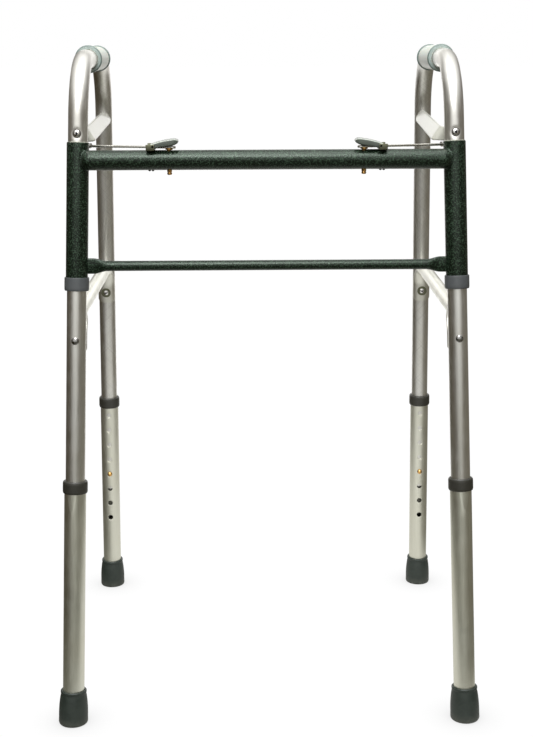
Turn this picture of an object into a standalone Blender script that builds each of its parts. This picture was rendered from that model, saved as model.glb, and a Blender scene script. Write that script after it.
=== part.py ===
"""Folding walking frame: a green steel front assembly, two folding aluminium side frames,
four push-button height-adjustable legs and a paddle latch for each side.

Metres, +Z up. The feet stand on z = 0, the origin is the centre of the footprint, the crossbar
is at the front (-Y) and the user stands behind it (+Y). "left" is -X and "right" is +X.
"""
import math

import bmesh
import bpy
from mathutils import Matrix, Vector

# ---------------------------------------------------------------- driving dimensions
FIT = 0.0003                     # clearance between touching pieces
ROUND = 20                       # sides of the large round pieces
SMALL_ROUND = 10                 # sides of fasteners, pins and small holes

FOOT_DEPTH = 0.455               # front feet to rear feet, on the floor
FRONT_FOOT_X = 0.2648            # half the spacing of the front feet
REAR_FOOT_X = 0.2592
FRONT_LEAN = Vector((-0.0310, 0.1100, 1.0))   # front upright, right side, per metre of height
REAR_LEAN = Vector((-0.0172, -0.0350, 1.0))   # rear upright, right side
GRIP_HEIGHT = 0.8703             # axis of the handle tube
BEND_RADIUS = 0.080
BEND_STEPS = 6

TUBE_RADIUS = 0.0127             # upper side tube
TUBE_WALL = 0.0014
LEG_RADIUS = 0.0143              # lower leg tube, also the steel sleeve
LEG_BORE = TUBE_RADIUS + FIT

LEG_BOTTOM = 0.0060              # distances along a leg, measured from the floor
LEG_TOP = 0.3280
HOLE_TOP = 0.3035
HOLE_PITCH = 0.0254
HOLE_COUNT = 8
HOLE_RADIUS = 0.0040
BUTTON_HOLE = 4                  # the fifth hole from the top holds the snap button
BUTTON_ALONG = HOLE_TOP - BUTTON_HOLE * HOLE_PITCH
INNER_TUBE_END = BUTTON_ALONG - HOLE_PITCH

LEG_COLLAR = (0.3155, 0.3318)
LEG_COLLAR_RADIUS = 0.0164
TIP_HEIGHT = 0.0450
TIP_BASE_RADIUS = 0.0198
TIP_TOP_RADIUS = 0.0172

SLEEVE = (0.5862, 0.7719)        # distances along the front upright
SLEEVE_COLLAR = (0.5828, 0.6002)
SLEEVE_COLLAR_RADIUS = 0.0160

CROSSBAR_RADIUS = 0.0127
CROSSBAR_WALL = 0.0014
CROSSBAR_HEIGHT = 0.7460
CROSSBAR_FORWARD = 0.0130        # crossbar axis in front of the sleeve axis
CROSSBAR_HALF = 0.2355
LOWER_BAR_HEIGHT = 0.6105
LOWER_BAR_RADIUS = 0.0066
LOWER_BAR_WALL = 0.0012
LOWER_BAR_END = (0.0102, 0.0024)  # half height and half thickness of the flattened ends

GRIP_LENGTH = 0.1340
GRIP_RADIUS = 0.0168
GRIP_FLANGE_RADIUS = 0.0187
GRIP_FLANGE = 0.0045
GRIP_BACK = 0.0195               # grip's middle, behind the middle of the handle

UPPER_BRACE_FRONT_Z = 0.7783
UPPER_BRACE_REAR_Z = 0.7838
UPPER_BRACE_SECTION = (0.0103, 0.0055)   # half height and half thickness
UPPER_BRACE_TAB = 0.0023         # half thickness of the flattened front tab
UPPER_BRACE_CORNER = (0.0130, 0.0176)    # inboard and back from the front upright's axis
LOWER_BRACE_Z = 0.5560
LOWER_BRACE_RADIUS = 0.0098
LOWER_BRACE_BEND = 0.0220
LOWER_BRACE_TAB = (0.0128, 0.0022)       # half width and half thickness of the saddle tabs
LOWER_BRACE_FRONT_END = 0.5010
LOWER_BRACE_REAR_END = 0.4930
BRACE_WALL = 0.0012

UPPER_SCREW_ALONG = 0.7854
LOWER_RIVET_ALONG = 0.5183
REAR_BOLT_ALONG = 0.5090
SHANK_RADIUS = 0.0025

# The latch, measured along the crossbar (x), from the crossbar axis (y) and up (z).
PLUNGER_X = 0.1238
PLUNGER_RADIUS = 0.0031
PLUNGER_NECK = 0.0024
BRACKET_X = (0.1415, 0.1525)
BRACKET_Y = (-0.0145, 0.0174)
BRACKET_WALL = 0.0012
CROSSBAR_TOP = CROSSBAR_HEIGHT + CROSSBAR_RADIUS
BRACKET_FLOOR = CROSSBAR_TOP + 0.0015
BRACKET_TOP = CROSSBAR_TOP + 0.0076
PADDLE_PIVOT = (0.1440, CROSSBAR_TOP + 0.0050)    # x and z
PADDLE_LENGTH = 0.0318
PADDLE_SLOPE = math.radians(11.0)
LINK_Z = CROSSBAR_TOP + 0.0034   # underside of the link strip at the plunger
LINK_THICKNESS = 0.0014
LINK_HALF_WIDTH = 0.0044
LINK_EYE = (0.0115, 0.0245)      # inboard and back from the front upright's axis
LINK_TAIL = 0.0090               # strip left beyond the plunger
FOLD_LIMIT = {"left": math.radians(84.0), "right": math.radians(60.0)}
# the link turns and slides in step with the fold, and is true to its stud at this share of it
LINK_TRUE_SHARE = 0.70

SIDES = {"left": -1, "right": 1}


# ---------------------------------------------------------------- layout
def mirrored(vector, side):
    """The right-hand vector as it lies on the given side."""
    return Vector((vector.x * side, vector.y, vector.z))


def front_axis(side):
    """Foot point and upward unit direction of a front upright."""
    foot = Vector((side * FRONT_FOOT_X, -FOOT_DEPTH / 2, 0.0))
    return foot, mirrored(FRONT_LEAN, side).normalized()


def rear_axis(side):
    foot = Vector((side * REAR_FOOT_X, FOOT_DEPTH / 2, 0.0))
    return foot, mirrored(REAR_LEAN, side).normalized()


def cross_directions(up):
    """Backward and rightward unit vectors square to an upright."""
    back = (Vector((0, 1, 0)) - up * up.y).normalized()
    return back, back.cross(up)


def on_upright(axis, side, inboard, back, along):
    """A point given by its distances from an upright's axis and along it."""
    foot, up = axis
    backward, rightward = cross_directions(up)
    return foot + up * along + backward * back - rightward * (side * inboard)


def along_at_height(axis, height):
    foot, up = axis
    return (height - foot.z) / up.z


def handle_corners(side):
    """Where the handle's line meets the two uprights."""
    front = front_axis(side)
    rear = rear_axis(side)
    front_corner = on_upright(front, side, 0, 0, along_at_height(front, GRIP_HEIGHT))
    rear_corner = on_upright(rear, side, 0, 0, along_at_height(rear, GRIP_HEIGHT))
    return front_corner, rear_corner


def crossbar_y():
    """The crossbar's axis lies in front of the sleeves' axes."""
    axis = front_axis(1)
    sleeve = on_upright(axis, 1, 0, 0, along_at_height(axis, CROSSBAR_HEIGHT))
    return sleeve.y - CROSSBAR_FORWARD


# ---------------------------------------------------------------- mesh helpers
def frame_matrix(point, direction, reference=Vector((0, 1, 0))):
    """A placement whose local Z is the direction and whose local Y leans to the reference."""
    z_axis = direction.normalized()
    y_axis = (reference - z_axis * reference.dot(z_axis)).normalized()
    x_axis = y_axis.cross(z_axis)
    matrix = Matrix((x_axis, y_axis, z_axis)).transposed().to_4x4()
    matrix.translation = point
    return matrix


def add_rings(bm, rings):
    return [[bm.verts.new(point) for point in ring] for ring in rings]


def bridge(bm, first, second):
    count = len(first)
    for i in range(count):
        j = (i + 1) % count
        bm.faces.new((first[i], first[j], second[j], second[i]))


def loft(rings):
    """A solid through closed rings, with flat ends."""
    bm = bmesh.new()
    loops = add_rings(bm, rings)
    for first, second in zip(loops, loops[1:]):
        bridge(bm, first, second)
    bm.faces.new(loops[0])
    bm.faces.new(loops[-1])
    return bm


def pipe(outer, inner):
    """A hollow body with open ends through matching outer and inner rings."""
    bm = bmesh.new()
    loops = add_rings(bm, list(outer) + list(reversed(inner)))
    for first, second in zip(loops, loops[1:] + loops[:1]):
        bridge(bm, first, second)
    return bm


def circle(matrix, radius, segments, height=0.0):
    points = []
    for i in range(segments):
        angle = 2 * math.pi * i / segments
        local = Vector((radius * math.cos(angle), radius * math.sin(angle), height))
        points.append(matrix @ local)
    return points


def turned(profile, matrix, segments):
    """A solid of revolution from an open (radius, height) profile with flat ends."""
    return loft([circle(matrix, radius, segments, height) for radius, height in profile])


def turned_ring(profile, matrix, segments):
    """A ring-shaped body of revolution from a closed profile that stays off the axis."""
    bm = bmesh.new()
    loops = add_rings(bm, [circle(matrix, radius, segments, height) for radius, height in profile])
    for first, second in zip(loops, loops[1:] + loops[:1]):
        bridge(bm, first, second)
    return bm


def rod(start, end, radius, segments):
    matrix = frame_matrix(start, end - start, best_reference(end - start))
    return turned([(radius, 0.0), (radius, (end - start).length)], matrix, segments)


def best_reference(direction):
    """A reference vector that isn't parallel to the direction."""
    if abs(direction.normalized().y) < 0.8:
        return Vector((0, 1, 0))
    return Vector((0, 0, 1))


def box(low, high):
    """A solid box between two corners."""
    bm = bmesh.new()
    bmesh.ops.create_cube(bm, size=1.0)
    size = Vector(high) - Vector(low)
    middle = (Vector(high) + Vector(low)) / 2
    bmesh.ops.transform(bm, matrix=Matrix.Diagonal(size).to_4x4(), verts=bm.verts)
    bmesh.ops.translate(bm, vec=middle, verts=bm.verts)
    return bm


def joined(parts):
    """Several bmeshes in one, for cutters."""
    result = bmesh.new()
    for part in parts:
        mesh = bpy.data.meshes.new("part")
        part.to_mesh(mesh)
        part.free()
        result.from_mesh(mesh)
        bpy.data.meshes.remove(mesh)
    return result


def filleted_path(points, radius, steps):
    """Points and tangents of a polyline whose corners are arcs."""
    path = [(points[0], (points[1] - points[0]).normalized())]
    for before, corner, after in zip(points, points[1:], points[2:]):
        enter = (corner - before).normalized()
        leave = (after - corner).normalized()
        turn = enter.angle(leave)
        start = corner - enter * (radius * math.tan(turn / 2))
        inward = (leave - enter * leave.dot(enter)).normalized()
        for i in range(steps + 1):
            angle = turn * i / steps
            offset = enter * (radius * math.sin(angle)) + inward * (radius * (1 - math.cos(angle)))
            tangent = enter * math.cos(angle) + inward * math.sin(angle)
            path.append((start + offset, tangent))
    path.append((points[-1], (points[-1] - points[-2]).normalized()))
    return path


def with_stations(path, distances):
    """The same path with extra points on its first and last straight runs."""
    first, tangent = path[0]
    last, last_tangent = path[-1]
    start = [(first + tangent * d, tangent) for d in distances]
    end = [(last - last_tangent * d, last_tangent) for d in reversed(distances)]
    return [path[0]] + start + path[1:-1] + end + [path[-1]]


def path_frames(path, normal):
    """A lateral and a normal vector at each path point, carried along without twist."""
    frames = []
    previous = path[0][1]
    normal = (normal - previous * normal.dot(previous)).normalized()
    for point, tangent in path:
        turn = previous.rotation_difference(tangent)
        normal = turn @ normal
        normal = (normal - tangent * normal.dot(tangent)).normalized()
        frames.append((point, tangent, normal.cross(tangent), normal))
        previous = tangent
    return frames


def smooth_step(value):
    value = min(max(value, 0.0), 1.0)
    return value * value * (3 - 2 * value)


def mix(a, b, t):
    return a + (b - a) * t


# ---------------------------------------------------------------- scene helpers
def clear_scene():
    for obj in list(bpy.data.objects):
        bpy.data.objects.remove(obj, do_unlink=True)


def material(name, colour, roughness, metallic):
    mat = bpy.data.materials.new(name)
    mat.use_nodes = True
    shader = mat.node_tree.nodes["Principled BSDF"]
    shader.inputs["Base Color"].default_value = (*colour, 1.0)
    shader.inputs["Roughness"].default_value = roughness
    shader.inputs["Metallic"].default_value = metallic
    mat.diffuse_color = (*colour, 1.0)
    return mat


def pivot(name, location, parent=None):
    """An empty on a joint's axis, which carries the pieces of one moving body."""
    empty = bpy.data.objects.new(name, None)
    empty.empty_display_size = 0.02
    bpy.context.scene.collection.objects.link(empty)
    if parent is None:
        empty.location = location
    else:
        empty.parent = parent
        empty.location = location - world_location(parent)
    return empty


def world_location(empty):
    location = Vector((0, 0, 0))
    while empty is not None:
        location += empty.location
        empty = empty.parent
    return location


def add_object(name, bm, mat, parent=None, sharp=35.0):
    """Turns a bmesh in world coordinates into an object whose origin is its parent's."""
    origin = world_location(parent)
    bmesh.ops.recalc_face_normals(bm, faces=bm.faces)
    bmesh.ops.translate(bm, vec=-origin, verts=bm.verts)
    mesh = bpy.data.meshes.new(name)
    bm.to_mesh(mesh)
    bm.free()
    mesh.materials.append(mat)
    mesh.shade_smooth()
    mesh.set_sharp_from_angle(angle=math.radians(sharp))
    obj = bpy.data.objects.new(name, mesh)
    bpy.context.scene.collection.objects.link(obj)
    obj.parent = parent
    return obj


def boolean(obj, bm, operation="DIFFERENCE"):
    """Cuts or joins with a hidden helper body given in world coordinates."""
    bmesh.ops.recalc_face_normals(bm, faces=bm.faces)
    mesh = bpy.data.meshes.new(obj.name + "_tool")
    bm.to_mesh(mesh)
    bm.free()
    tool = bpy.data.objects.new(obj.name + "_tool", mesh)
    tool.hide_render = True
    tool.display_type = "WIRE"
    bpy.context.scene.collection.objects.link(tool)
    modifier = obj.modifiers.new("boolean", "BOOLEAN")
    modifier.operation = operation
    modifier.solver = "EXACT"
    modifier.object = tool


# ---------------------------------------------------------------- front assembly
def build_crossbar(mat):
    """Round crossbar, closed and rounded at its ends, coped round both sleeves."""
    y = crossbar_y()
    placement = frame_matrix(Vector((-CROSSBAR_HALF, y, CROSSBAR_HEIGHT)), Vector((1, 0, 0)))
    length = 2 * CROSSBAR_HALF
    rounding = 0.004
    profile = [(CROSSBAR_RADIUS - rounding, 0.0), (CROSSBAR_RADIUS - 0.0012, 0.0012)]
    profile += [(CROSSBAR_RADIUS, rounding), (CROSSBAR_RADIUS, length - rounding)]
    profile += [(CROSSBAR_RADIUS - 0.0012, length - 0.0012), (CROSSBAR_RADIUS - rounding, length)]
    bar = add_object("crossbar", turned(profile, placement, ROUND), mat)
    cuts = []
    bore = CROSSBAR_RADIUS - CROSSBAR_WALL
    inset = Vector((CROSSBAR_HALF - 0.028, 0, 0))
    middle = Vector((0, y, CROSSBAR_HEIGHT))
    cuts.append(rod(middle - inset, middle + inset, bore, ROUND))
    for side in SIDES.values():
        foot, up = front_axis(side)
        cuts.append(rod(foot + up * 0.70, foot + up * 0.80, LEG_RADIUS + FIT, ROUND))
        at_plunger = Vector((side * PLUNGER_X, y, CROSSBAR_HEIGHT))
        above = at_plunger + Vector((0, 0, 0.02))
        below = at_plunger - Vector((0, 0, 0.02))
        cuts.append(rod(at_plunger + Vector((0, 0, 0.0102)), above, 0.0053, SMALL_ROUND))
        cuts.append(rod(below, at_plunger - Vector((0, 0, 0.0102)), PLUNGER_RADIUS + 0.0004, SMALL_ROUND))
        at_bracket = Vector((side * (BRACKET_X[0] + BRACKET_X[1]) / 2, y, CROSSBAR_HEIGHT))
        above = at_bracket + Vector((0, 0, 0.02))
        below = at_bracket - Vector((0, 0, 0.02))
        cuts.append(rod(below, above, SHANK_RADIUS + FIT, SMALL_ROUND))
    for cut in cuts:
        boolean(bar, cut)


def build_lower_bar(mat):
    """Thin tie bar whose flattened ends meet the sleeves' inner sides."""
    axis = front_axis(1)
    centre = on_upright(axis, 1, 0, 0, along_at_height(axis, LOWER_BAR_HEIGHT))
    half = centre.x - LEG_RADIUS + 0.0055
    flat_height, flat_thickness = LOWER_BAR_END
    outer = []
    inner = []
    stations = [half, half - 0.013, half - 0.020, half - 0.030]
    stations += [-x for x in reversed(stations)]
    for x in stations:
        flat = smooth_step(1 - (half - 0.013 - abs(x)) / 0.017)
        height = mix(LOWER_BAR_RADIUS, flat_height, flat)
        thickness = mix(LOWER_BAR_RADIUS, flat_thickness, flat)
        middle = Vector((x, centre.y, centre.z))
        outer.append(oval(middle, thickness, height))
        inner.append(oval(middle, thickness - LOWER_BAR_WALL, height - LOWER_BAR_WALL))
    bar = add_object("lower_bar", pipe(outer, inner), mat)
    for side in SIDES.values():
        foot, up = front_axis(side)
        boolean(bar, rod(foot + up * 0.58, foot + up * 0.65, LEG_RADIUS + FIT, ROUND))


def oval(middle, half_depth, half_height):
    """An upright oval ring square to X."""
    points = []
    for i in range(16):
        angle = 2 * math.pi * i / 16
        points.append(middle + Vector((0, half_depth * math.cos(angle), half_height * math.sin(angle))))
    return points


def build_sleeve(label, side, steel, plastic):
    """Steel sleeve that a front upright turns in, and the plastic collar round its lower end."""
    foot, up = front_axis(side)
    placement = frame_matrix(foot, up)
    low, high = SLEEVE
    profile = [(LEG_BORE, low), (LEG_RADIUS, low), (LEG_RADIUS, high), (LEG_BORE, high)]
    add_object("sleeve_" + label, turned_ring(profile, placement, ROUND), steel)
    low, high = SLEEVE_COLLAR
    radius = SLEEVE_COLLAR_RADIUS
    profile = [(LEG_BORE, low), (radius - 0.0016, low), (radius, low + 0.0020), (radius, high - 0.0010)]
    profile += [(radius - 0.0006, high), (LEG_RADIUS + FIT, high)]
    profile += [(LEG_RADIUS + FIT, SLEEVE[0] - FIT), (LEG_BORE, SLEEVE[0] - FIT)]
    add_object("sleeve_collar_" + label, turned_ring(profile, placement, ROUND), plastic)


# ---------------------------------------------------------------- side frames
def side_path(side):
    front_corner, rear_corner = handle_corners(side)
    start = on_upright(front_axis(side), side, 0, 0, INNER_TUBE_END)
    end = on_upright(rear_axis(side), side, 0, 0, INNER_TUBE_END)
    return filleted_path([start, front_corner, rear_corner, end], BEND_RADIUS, BEND_STEPS)


def tube_along(path, radius, wall, segments):
    """A hollow round tube along a path."""
    outer = []
    inner = []
    for point, _, lateral, normal in path_frames(path, Vector((0, 1, 0))):
        for rings, size in ((outer, radius), (inner, radius - wall)):
            ring = []
            for i in range(segments):
                angle = 2 * math.pi * i / segments
                ring.append(point + lateral * (size * math.cos(angle)) + normal * (size * math.sin(angle)))
            rings.append(ring)
    return pipe(outer, inner)


def through_hole(axis, side, along, reach=0.030):
    """A cutter across an upright from front to back."""
    front = on_upright(axis, side, 0, -reach, along)
    back = on_upright(axis, side, 0, reach, along)
    return rod(front, back, SHANK_RADIUS + FIT, SMALL_ROUND)


def build_side_tube(label, side, mat, body):
    """The bent tube: front upright, handle and rear upright in one piece."""
    tube = add_object("side_tube_" + label, tube_along(side_path(side), TUBE_RADIUS, TUBE_WALL, ROUND),
                      mat, body)
    front = front_axis(side)
    rear = rear_axis(side)
    boolean(tube, through_hole(front, side, UPPER_SCREW_ALONG))
    boolean(tube, through_hole(front, side, LOWER_RIVET_ALONG))
    boolean(tube, through_hole(rear, side, REAR_BOLT_ALONG))
    boolean(tube, through_hole(rear, side, along_at_height(rear, UPPER_BRACE_REAR_Z)))
    for axis, facing in ((front, 1), (rear, -1)):
        inside = on_upright(axis, side, 0, facing * 0.005, BUTTON_ALONG)
        outside = on_upright(axis, side, 0, facing * 0.020, BUTTON_ALONG)
        boolean(tube, rod(inside, outside, HOLE_RADIUS, SMALL_ROUND))


def build_grip(label, side, mat, body):
    """Vinyl hand grip with a flange at each end, closed round the handle tube."""
    front_corner, rear_corner = handle_corners(side)
    direction = (rear_corner - front_corner).normalized()
    middle = (front_corner + rear_corner) / 2 + direction * GRIP_BACK
    placement = frame_matrix(middle, direction, Vector((0, 0, 1)))
    half = GRIP_LENGTH / 2
    flange = half - GRIP_FLANGE
    bore = LEG_BORE
    profile = [(bore, -half), (GRIP_FLANGE_RADIUS - 0.0015, -half), (GRIP_FLANGE_RADIUS, -half + 0.0015)]
    profile += [(GRIP_FLANGE_RADIUS, -flange - 0.0008), (GRIP_RADIUS, -flange + 0.0010)]
    profile += [(GRIP_RADIUS, flange - 0.0010), (GRIP_FLANGE_RADIUS, flange + 0.0008)]
    profile += [(GRIP_FLANGE_RADIUS, half - 0.0015), (GRIP_FLANGE_RADIUS - 0.0015, half), (bore, half)]
    add_object("grip_" + label, turned_ring(profile, placement, ROUND), mat, body)


def build_upper_brace(label, side, mat, body):
    """Oval brace from a flat tab behind the front upright to a coped end on the rear one."""
    front = front_axis(side)
    rear = rear_axis(side)
    along = along_at_height(front, UPPER_BRACE_FRONT_Z)
    inboard, back = UPPER_BRACE_CORNER
    start = on_upright(front, side, -0.0095, back, along)
    corner = on_upright(front, side, inboard, back, along)
    end = on_upright(rear, side, 0, -0.0040, along_at_height(rear, UPPER_BRACE_REAR_Z))
    path = filleted_path([start, corner, end], 0.0065, 3)
    corner_point, _ = path[-2]
    run = end - corner_point
    extra = [(corner_point + run * t, run.normalized()) for t in (0.22, 0.94)]
    path = path[:-1] + extra + [path[-1]]
    outer = []
    inner = []
    half_height, half_thickness = UPPER_BRACE_SECTION
    for point, _, lateral, normal in path_frames(path, Vector((0, 0, 1))):
        swell = smooth_step((point - corner).length / 0.055 - 0.2)
        thickness = mix(UPPER_BRACE_TAB, half_thickness, swell)
        closing = smooth_step(1 - (end - point).length / 0.020)
        hollow = mix(thickness - BRACE_WALL, 0.0012, closing)
        outer.append(rounded_ring(point, lateral, normal, thickness, half_height))
        inner.append(rounded_ring(point, lateral, normal, hollow, half_height - BRACE_WALL))
    brace = add_object("upper_brace_" + label, pipe(outer, inner), mat, body)
    foot, up = rear
    boolean(brace, rod(foot + up * 0.74, foot + up * 0.83, LEG_BORE, ROUND))
    boolean(brace, through_hole(front, side, UPPER_SCREW_ALONG))
    boolean(brace, through_hole(rear, side, along_at_height(rear, UPPER_BRACE_REAR_Z), 0.017))


def rounded_ring(point, across, upward, half_across, half_up):
    """A rounded-rectangle ring of twelve points."""
    corner = min(half_across, half_up) * 0.9
    points = []
    for x_sign, y_sign, start in ((1, 1, 0), (-1, 1, 90), (-1, -1, 180), (1, -1, 270)):
        for step in range(3):
            angle = math.radians(start + 45 * step)
            x = x_sign * (half_across - corner) + corner * math.cos(angle)
            y = y_sign * (half_up - corner) + corner * math.sin(angle)
            points.append(point + across * x + upward * y)
    return points


def build_lower_brace(label, side, mat, body):
    """Arched brace tube whose ends are pressed into saddles that hug the two uprights."""
    front = front_axis(side)
    rear = rear_axis(side)
    half_width, half_thickness = LOWER_BRACE_TAB
    stand_off = LEG_BORE + half_thickness
    points = [on_upright(front, side, 0, stand_off, LOWER_BRACE_FRONT_END),
              on_upright(front, side, 0, stand_off, along_at_height(front, LOWER_BRACE_Z)),
              on_upright(rear, side, 0, -stand_off, along_at_height(rear, LOWER_BRACE_Z)),
              on_upright(rear, side, 0, -stand_off, LOWER_BRACE_REAR_END)]
    path = with_stations(filleted_path(points, LOWER_BRACE_BEND, 4), [0.026])
    outer = []
    inner = []
    travelled = path_lengths(path)
    total = travelled[-1]
    for frame, distance in zip(path_frames(path, Vector((0, 1, 0))), travelled):
        point, _, lateral, normal = frame
        from_end = min(distance, total - distance)
        tube = smooth_step((from_end - 0.024) / 0.042)
        width = mix(half_width, LOWER_BRACE_RADIUS, tube)
        thickness = mix(half_thickness, LOWER_BRACE_RADIUS, tube)
        curvature = (1 - tube) / stand_off
        lift = normal * ((LOWER_BRACE_RADIUS - half_thickness) * tube)
        centre = point + lift
        outer.append(saddle_ring(centre, lateral, normal, width, thickness, curvature))
        inner.append(saddle_ring(centre, lateral, normal, width - BRACE_WALL,
                                 max(thickness - BRACE_WALL, 0.0006), curvature))
    brace = add_object("lower_brace_" + label, pipe(outer, inner), mat, body)
    boolean(brace, through_hole(front, side, LOWER_RIVET_ALONG))
    boolean(brace, through_hole(rear, side, REAR_BOLT_ALONG))


def path_lengths(path):
    lengths = [0.0]
    for (a, _), (b, _) in zip(path, path[1:]):
        lengths.append(lengths[-1] + (b - a).length)
    return lengths


def saddle_ring(centre, lateral, normal, half_width, half_thickness, curvature):
    """An oval ring, bent about a line on its inner side when it has curvature."""
    points = []
    for i in range(16):
        angle = 2 * math.pi * i / 16
        x = half_width * math.cos(angle)
        y = half_thickness * math.sin(angle)
        if curvature > 1.0:
            radius = 1 / curvature + y
            x, y = math.sin(x * curvature) * radius, math.cos(x * curvature) * radius - 1 / curvature
        points.append(centre + lateral * x + normal * y)
    return points


def fastener(name, seat, direction, head, tail, mat, body):
    """A rivet or screw: a domed head, a shank, and a tail (radius, height) past the grip length."""
    head_radius, head_height = head
    tail_radius, tail_height, grip = tail
    placement = frame_matrix(seat, direction, best_reference(direction))
    profile = [(head_radius * 0.45, head_height), (head_radius * 0.85, head_height * 0.7),
               (head_radius, head_height * 0.15), (head_radius, 0.0), (SHANK_RADIUS, 0.0),
               (SHANK_RADIUS, -grip)]
    if tail_height > 0:
        profile += [(tail_radius, -grip), (tail_radius * 0.8, -grip - tail_height)]
    add_object(name, turned(profile, placement, SMALL_ROUND), mat, body)


def build_side_fasteners(label, side, steel, body):
    front = front_axis(side)
    rear = rear_axis(side)
    skin = TUBE_RADIUS + FIT
    tab = 2 * LOWER_BRACE_TAB[1]
    backward, _ = cross_directions(front[1])
    seat = on_upright(front, side, 0, -skin, UPPER_SCREW_ALONG)
    grip = skin + UPPER_BRACE_CORNER[1] + UPPER_BRACE_TAB + 2 * FIT
    fastener("upper_screw_" + label, seat, -backward, (0.0050, 0.0026), (0.0042, 0.0020, grip), steel, body)
    seat = on_upright(front, side, 0, -skin, LOWER_RIVET_ALONG)
    grip = 2 * skin + tab + FIT
    fastener("lower_rivet_" + label, seat, -backward, (0.0050, 0.0024), (0.0040, 0.0018, grip), steel, body)
    backward, _ = cross_directions(rear[1])
    seat = on_upright(rear, side, 0, -skin - tab - FIT, REAR_BOLT_ALONG)
    fastener("rear_bolt_" + label, seat, -backward, (0.0052, 0.0024), (0.0045, 0.0022, grip), steel, body)
    seat = on_upright(rear, side, 0, skin, along_at_height(rear, UPPER_BRACE_REAR_Z))
    grip = 2 * skin + 0.0010
    fastener("rear_rivet_" + label, seat, backward, (0.0048, 0.0022), (0.0, 0.0, grip), steel, body)


# ---------------------------------------------------------------- legs
def build_leg(name, axis, side, facing, mats, body):
    """Lower leg tube with its row of height holes, the collar at its top and the rubber tip."""
    foot, up = axis
    placement = frame_matrix(foot, up)
    profile = [(LEG_BORE, LEG_BOTTOM), (LEG_RADIUS, LEG_BOTTOM), (LEG_RADIUS, LEG_TOP), (LEG_BORE, LEG_TOP)]
    tube = add_object("leg_tube_" + name, turned_ring(profile, placement, ROUND), mats["champagne"], body)
    holes = []
    for i in range(HOLE_COUNT):
        along = HOLE_TOP - i * HOLE_PITCH
        inside = on_upright(axis, side, 0, facing * 0.006, along)
        outside = on_upright(axis, side, 0, facing * 0.020, along)
        holes.append(rod(inside, outside, HOLE_RADIUS, SMALL_ROUND))
    boolean(tube, joined(holes))

    low, high = LEG_COLLAR
    radius = LEG_COLLAR_RADIUS
    profile = [(LEG_RADIUS + FIT, low), (radius - 0.0014, low), (radius, low + 0.0018)]
    profile += [(radius, high - 0.0026), (radius - 0.0020, high), (LEG_BORE, high)]
    profile += [(LEG_BORE, LEG_TOP + FIT), (LEG_RADIUS + FIT, LEG_TOP + FIT)]
    add_object("leg_collar_" + name, turned_ring(profile, placement, ROUND), mats["grey_plastic"], body)

    build_tip(name, placement, mats["rubber"], body)


def build_tip(name, placement, mat, body):
    """Tapered rubber tip, pressed flat where it stands on the floor."""
    sunk = 0.006
    socket = LEG_RADIUS + FIT
    rows = [(TIP_BASE_RADIUS, -sunk), (TIP_BASE_RADIUS, 0.0060), (TIP_BASE_RADIUS - 0.0009, 0.0085)]
    rows += [(TIP_TOP_RADIUS, TIP_HEIGHT - 0.0060), (TIP_TOP_RADIUS + 0.0005, TIP_HEIGHT - 0.0045)]
    rows += [(TIP_TOP_RADIUS + 0.0005, TIP_HEIGHT - 0.0015), (TIP_TOP_RADIUS - 0.0006, TIP_HEIGHT)]
    rows += [(socket, TIP_HEIGHT), (socket, LEG_BOTTOM - FIT)]
    bm = turned(rows, placement, ROUND)
    everything = list(bm.verts) + list(bm.edges) + list(bm.faces)
    cut = bmesh.ops.bisect_plane(bm, geom=everything, plane_co=(0, 0, 0), plane_no=(0, 0, -1),
                                 clear_outer=True, dist=1e-7)
    rim = [item for item in cut["geom_cut"] if isinstance(item, bmesh.types.BMEdge)]
    bmesh.ops.contextual_create(bm, geom=rim)
    add_object("tip_" + name, bm, mat, body)


def build_button(name, axis, side, facing, mats, body):
    """Domed snap button in the inner tube, and the leaf spring that carries it."""
    seat = on_upright(axis, side, 0, 0, BUTTON_ALONG)
    backward, _ = cross_directions(axis[1])
    placement = frame_matrix(seat, backward * facing, axis[1])
    shank = HOLE_RADIUS - 0.0004
    profile = [(0.0047, 0.0088), (0.0047, 0.0097), (shank, 0.0097), (shank, 0.0150),
               (shank * 0.88, 0.0163), (shank * 0.50, 0.0173)]
    add_object("button_" + name, turned(profile, placement, SMALL_ROUND), mats["brass"], body)
    leaf = 0.0005
    outline = [(0.0110, 0.0085), (-0.0300, 0.0085), (-0.0340, 0.0060), (-0.0350, 0.0020),
               (-0.0335, -0.0020), (-0.0290, -0.0042), (0.0020, -0.0056)]
    add_object("button_spring_" + name, bent_strip(outline, leaf, 0.0030, placement), mats["steel"], body)


def bent_strip(outline, thickness, half_width, placement):
    """A flat spring strip that follows an outline of (along, out) points."""
    count = len(outline)
    rings = []
    for i in range(count):
        before = Vector(outline[max(i - 1, 0)])
        after = Vector(outline[min(i + 1, count - 1)])
        tangent = (after - before).normalized()
        normal = Vector((-tangent.y, tangent.x)) * (thickness / 2)
        point = Vector(outline[i])
        ring = []
        for width, sign in ((half_width, 1), (half_width, -1), (-half_width, -1), (-half_width, 1)):
            flat = point + normal * sign
            ring.append(placement @ Vector((width, flat.x, flat.y)))
        rings.append(ring)
    return loft(rings)


# ---------------------------------------------------------------- latch
def link_layout(side):
    """Plunger point, eye point and axis of the link, in the plane square to the front upright."""
    foot, up = front_axis(side)
    backward, rightward = cross_directions(up)
    plunger = Vector((side * PLUNGER_X, crossbar_y(), LINK_Z + LINK_THICKNESS / 2))
    along = (plunger - foot).dot(up)
    centre = foot + up * along
    inboard, back = LINK_EYE
    eye = centre + backward * back - rightward * (side * inboard)
    return plunger, eye, up, centre


def folded_eye(side, angle):
    """Where the side frame's stud stands after the side has folded inwards by an angle."""
    _, eye, up, centre = link_layout(side)
    return centre + Matrix.Rotation(side * angle, 3, up) @ (eye - centre)


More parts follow.
